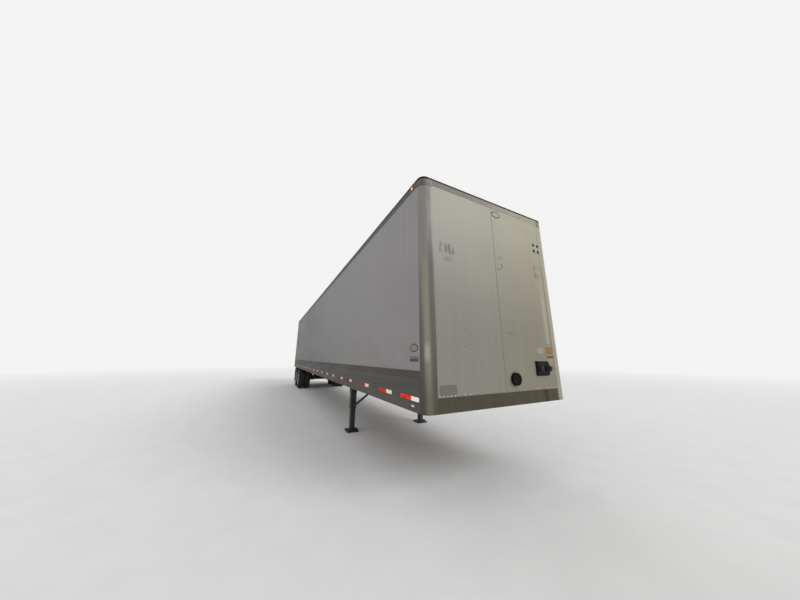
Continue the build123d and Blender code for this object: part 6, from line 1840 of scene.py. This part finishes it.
@dataclass
class LandingGear:
    """Gearbox cover, crank grip, leg plates and foot pins."""

    cover: Point = (0.12, 0.18, 0.025)
    cover_thick: float = 0.006
    cover_bolts: tuple[Pair, ...] = ((-0.05, 0.08), (0.05, 0.08), (-0.052, 0.0), (0.052, 0.0), (-0.05, -0.08),
                                     (0.05, -0.08))
    leg: float = 0.95
    foot_pin: float = 0.085

    def build(self) -> None:
        """Makes the landing gear's pieces."""
        self.gearbox()
        self.legs()

    def gearbox(self) -> None:
        """A raised cover with six bolts, the input boss and the crank's grip."""
        face = middle("landing_gearbox")
        face.y = high("landing_gearbox").y
        cover = Shape().prism(rounded_outline(*self.cover), face, LEFT, self.cover_thick, AHEAD)
        cover.lathe([(0.0, 0.03), (0.02, 0.026), (0.024, 0.02)], face + DOWN * 0.06, LEFT, 24)
        cover.piece("gearbox_cover", Look.chassis, bevel=0.002)
        bolts = Shape()
        for u, v in self.cover_bolts:
            bolts.bolt(face + at(u, self.cover_thick, v), LEFT, 0.006)
        bolts.piece("gearbox_bolts", Look.greased)
        start = at(face.x, high("landing_crank").y - 0.08, low("landing_crank").z + 0.011)
        grip = Shape().lathe([(0.0, 0.0125), (0.004, 0.0155), (0.07, 0.0155), (0.074, 0.0125)], start, LEFT)
        grip.piece("crank_grip", Look.rubber)

    def legs(self) -> None:
        """Weld collars, wear plates, wing bolts and foot pins."""
        plates, bolts = Shape(), Shape()
        x, top = middle("landing_shaft").x, high("landing_legs").z
        for side in Side:
            foot = at(x, side * self.leg, 0.0)
            plates.blocks(foot, ((-0.07, -0.07, 0.5), (0.07, 0.07, 0.515)),
                          ((-0.068, -0.068, 0.8), (0.068, 0.068, 0.808)))
            for way in (-1, 1):
                for shift in (-0.11, 0.11):
                    bolts.bolt(foot + at(shift, way * 0.065, top - 0.035), LEFT * way, 0.009)
                bolts.bolt(foot + at(0.0, way * 0.0525, self.foot_pin), LEFT * way, 0.014)
        plates.piece("leg_collars", Look.chassis, bevel=0.0015)
        bolts.piece("leg_bolts", Look.greased)


@dataclass
class MarkerLamps:
    """Domed lenses with their bases, in place of the plain blocks."""

    lit_share: float = 0.6

    def build(self) -> None:
        """Makes the side and rear lamps; the upper amber ones are lit, but for their front ends."""
        amber, amber_bases, red, red_bases, lit, dim = (Shape() for _ in range(6))
        for lo, hi in solid_boxes("amber_lamps"):
            if lo.z > VAN.roof / 2:
                joint = lo.x + (hi.x - lo.x) * self.lit_share
                self.lamp(amber_bases, lit, lo, at(joint, *hi.yz))
                self.lamp(amber_bases, dim, at(joint, *lo.yz), hi)
            else:
                self.lamp(amber_bases, amber, lo, hi)
        for lo, hi in solid_boxes("red_lamps"):
            self.lamp(red_bases, red, lo, hi)
        amber.piece("amber_lenses", Look.amber, replaces=["amber_lamps"], bevel=0.003)
        amber_bases.piece("amber_lamp_bases", Look.pale, bevel=0.001)
        lit.piece("lit_amber_lenses", Look.amber_lit, bevel=0.003)
        dim.piece("shaded_amber_lenses", Look.dim, bevel=0.003)
        red.piece("red_lenses", Look.red, replaces=["red_lamps"], bevel=0.003)
        red_bases.piece("red_lamp_bases", Look.plastic, bevel=0.001)

    def lamp(self, bases: Shape, lenses: Shape, lo: Vector, hi: Vector) -> None:
        """One lamp: a thin base and a lens that stands a little inside it.

        Args:
            bases: gathers the bases.
            lenses: gathers the lenses.
            lo: lowest corner of the plain block.
            hi: its highest corner.
        """
        size, seat = hi - lo, (lo + hi) / 2
        if size.x < size.y:
            out, right, width, depth = BACK, LEFT, size.y, size.x
            seat.x = hi.x
        else:
            side = Side.LEFT if seat.y > 0 else Side.RIGHT
            out, right, width, depth = side.out, AHEAD, size.x, size.y
            seat.y = side * min(abs(lo.y), abs(hi.y))
        if abs(width - size.z) < 0.005:
            radius = width / 2
            bases.lathe([(0.0, radius), (depth * 0.4, radius), (depth * 0.4, radius * 0.9)], seat, out, 40)
            dome = [(depth * 0.35, radius * 0.9), (depth * 0.8, radius * 0.86), (depth, radius * 0.55)]
            lenses.lathe(dome, seat, out, 40)
            return
        corner = min(width, size.z) * 0.3
        bases.prism(rounded_outline(width, size.z, corner), seat, out, depth * 0.35, right)
        lenses.prism(rounded_outline(width * 0.9, size.z * 0.86, corner * 0.9), seat, out, depth, right)


def solid_boxes(node: str) -> list[tuple[Vector, Vector]]:
    """The box of each separate solid in a node.

    Args:
        node: a node whose solids don't touch.

    Returns:
        Lowest and highest corner of each.
    """
    made = bmesh.new()
    made.from_mesh(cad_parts[node].data)
    bmesh.ops.remove_doubles(made, verts=made.verts, dist=1e-5)
    left = set(made.verts)
    found = []
    while left:
        reached = [left.pop()]
        for vertex in reached:
            fresh = {end for edge in vertex.link_edges for end in edge.verts} & left
            left -= fresh
            reached.extend(fresh)
        columns = list(zip(*(vertex.co for vertex in reached)))
        found.append((Vector([min(column) for column in columns]), Vector([max(column) for column in columns])))
    made.free()
    return sorted(found, key=lambda pair: tuple(pair[0]))


@dataclass
class Studio:
    """Camera at the photograph's viewing angle, pale floor, soft light."""

    eye: Point = (10.4362, -2.8545, 1.6862)
    yaw: float = 152.615
    pitch: float = 13.242
    roll: float = 0.25
    lens: float = 11.012
    sensor: float = 36.0
    clip: Pair = (0.05, 400.0)
    floor_colour: Colour = (0.8, 0.795, 0.785)
    backdrop: Colour = (0.9, 0.9, 0.895)
    reach: float = 150.0
    drop: float = 0.0005
    fade: Pair = (12.0, 46.0)
    sky: Colour = (0.98, 0.985, 1.0)
    sky_strength: float = 0.6
    lamps: tuple[tuple[str, float, float, Point], ...] = (
        # name, strength, spread in degrees, the way it shines
        ("key", 1.15, 30.0, (-0.75, -0.45, -0.62)),
        ("fill", 0.3, 60.0, (-0.1, 0.8, -0.5)),
        ("back", 0.45, 60.0, (0.85, -0.2, -0.5)),
    )

    def build(self) -> None:
        """Sets the stage."""
        self.camera()
        self.floor()
        self.light()
        bpy.context.scene.view_settings.view_transform = "Standard"

    def camera(self) -> None:
        """Makes the camera."""
        data = bpy.data.cameras.new("view")
        data.lens = self.lens
        data.sensor_width = self.sensor
        data.clip_start, data.clip_end = self.clip
        item = put("view", data)
        yaw, pitch = math.radians(self.yaw), math.radians(self.pitch)
        ahead = at(math.cos(yaw) * math.cos(pitch), math.sin(yaw) * math.cos(pitch), math.sin(pitch))
        item.location = self.eye
        turn = ahead.to_track_quat("-Z", "Y").to_matrix()
        item.rotation_euler = (turn @ Matrix.Rotation(math.radians(self.roll), 3, "Z")).to_euler()
        bpy.context.scene.camera = item

    def floor(self) -> None:
        """Makes the floor."""
        mesh = bpy.data.meshes.new("studio_floor")
        corners = [(u * self.reach, v * self.reach, 0) for u, v in ((-1, -1), (1, -1), (1, 1), (-1, 1))]
        mesh.from_pydata(corners, [], [(0, 1, 2, 3)])
        item = put("studio_floor", mesh)
        item.location.z = -self.drop
        s = Shader("pale_floor")
        tint = s.mix(s.cloud(), self.floor_colour, tuple(part * 1.03 for part in self.floor_colour))
        near = s.node("ShaderNodeBsdfPrincipled", {}, {"Base Color": tint, "Roughness": 0.9, "Specular IOR Level": 0.1})
        far = s.node("ShaderNodeEmission", {}, {"Color": self.backdrop})
        away = s.node("ShaderNodeVectorMath", {"operation": "LENGTH"}, {0: s.place}, "Value").ramp(*self.fade)
        mesh.materials.append(s.close(s.node("ShaderNodeMixShader", {}, {0: away * s.ray("Camera"), 1: near, 2: far})))

    def light(self) -> None:
        """Makes the world and the lamps."""
        world = bpy.data.worlds.new("studio")
        bpy.context.scene.world = world
        s = Shader("studio", world)
        lit = s.node("ShaderNodeBackground", {}, {"Color": self.sky, "Strength": self.sky_strength})
        shown = s.node("ShaderNodeBackground", {}, {"Color": self.backdrop})
        seen = s.ray("Camera", "Glossy", "Transmission")
        s.close(s.node("ShaderNodeMixShader", {}, {0: seen, 1: lit, 2: shown}), "World")
        for name, strength, spread, way in self.lamps:
            data = bpy.data.lights.new(name, "SUN")
            data.energy = strength
            data.angle = math.radians(spread)
            put(name, data).rotation_euler = Vector(way).to_track_quat("-Z", "Y").to_euler()


def dress_frame() -> None:
    """Gives every node of the frame its finish."""
    for name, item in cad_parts.items():
        finish = NODE_FINISH.get(name, Look.chassis)
        item.data.materials.clear()
        item.data.materials.append(finish.material)
        LOG.info("%s wears %s", name, finish.name)


def main() -> None:
    """Builds the studio, the finishes and every sub-assembly in order."""
    logging.basicConfig(level=logging.INFO, format="%(name)s: %(message)s")
    Studio().build()
    dress_frame()
    wheel_ends = [WheelEnd(side, end) for side in Side for end in ("front", "rear")]
    for part in (NoseWall(), NoseBox(), DocumentHolder(), ReflectiveTape(), SideWalls(), Roof(), LoadSpace(),
                 RearEnd(), *wheel_ends, LeafSprings(), Tandem(), LandingGear(), MarkerLamps()):
        LOG.info("building %s", type(part).__name__)
        part.build()


if __name__ == "__main__":
    main()
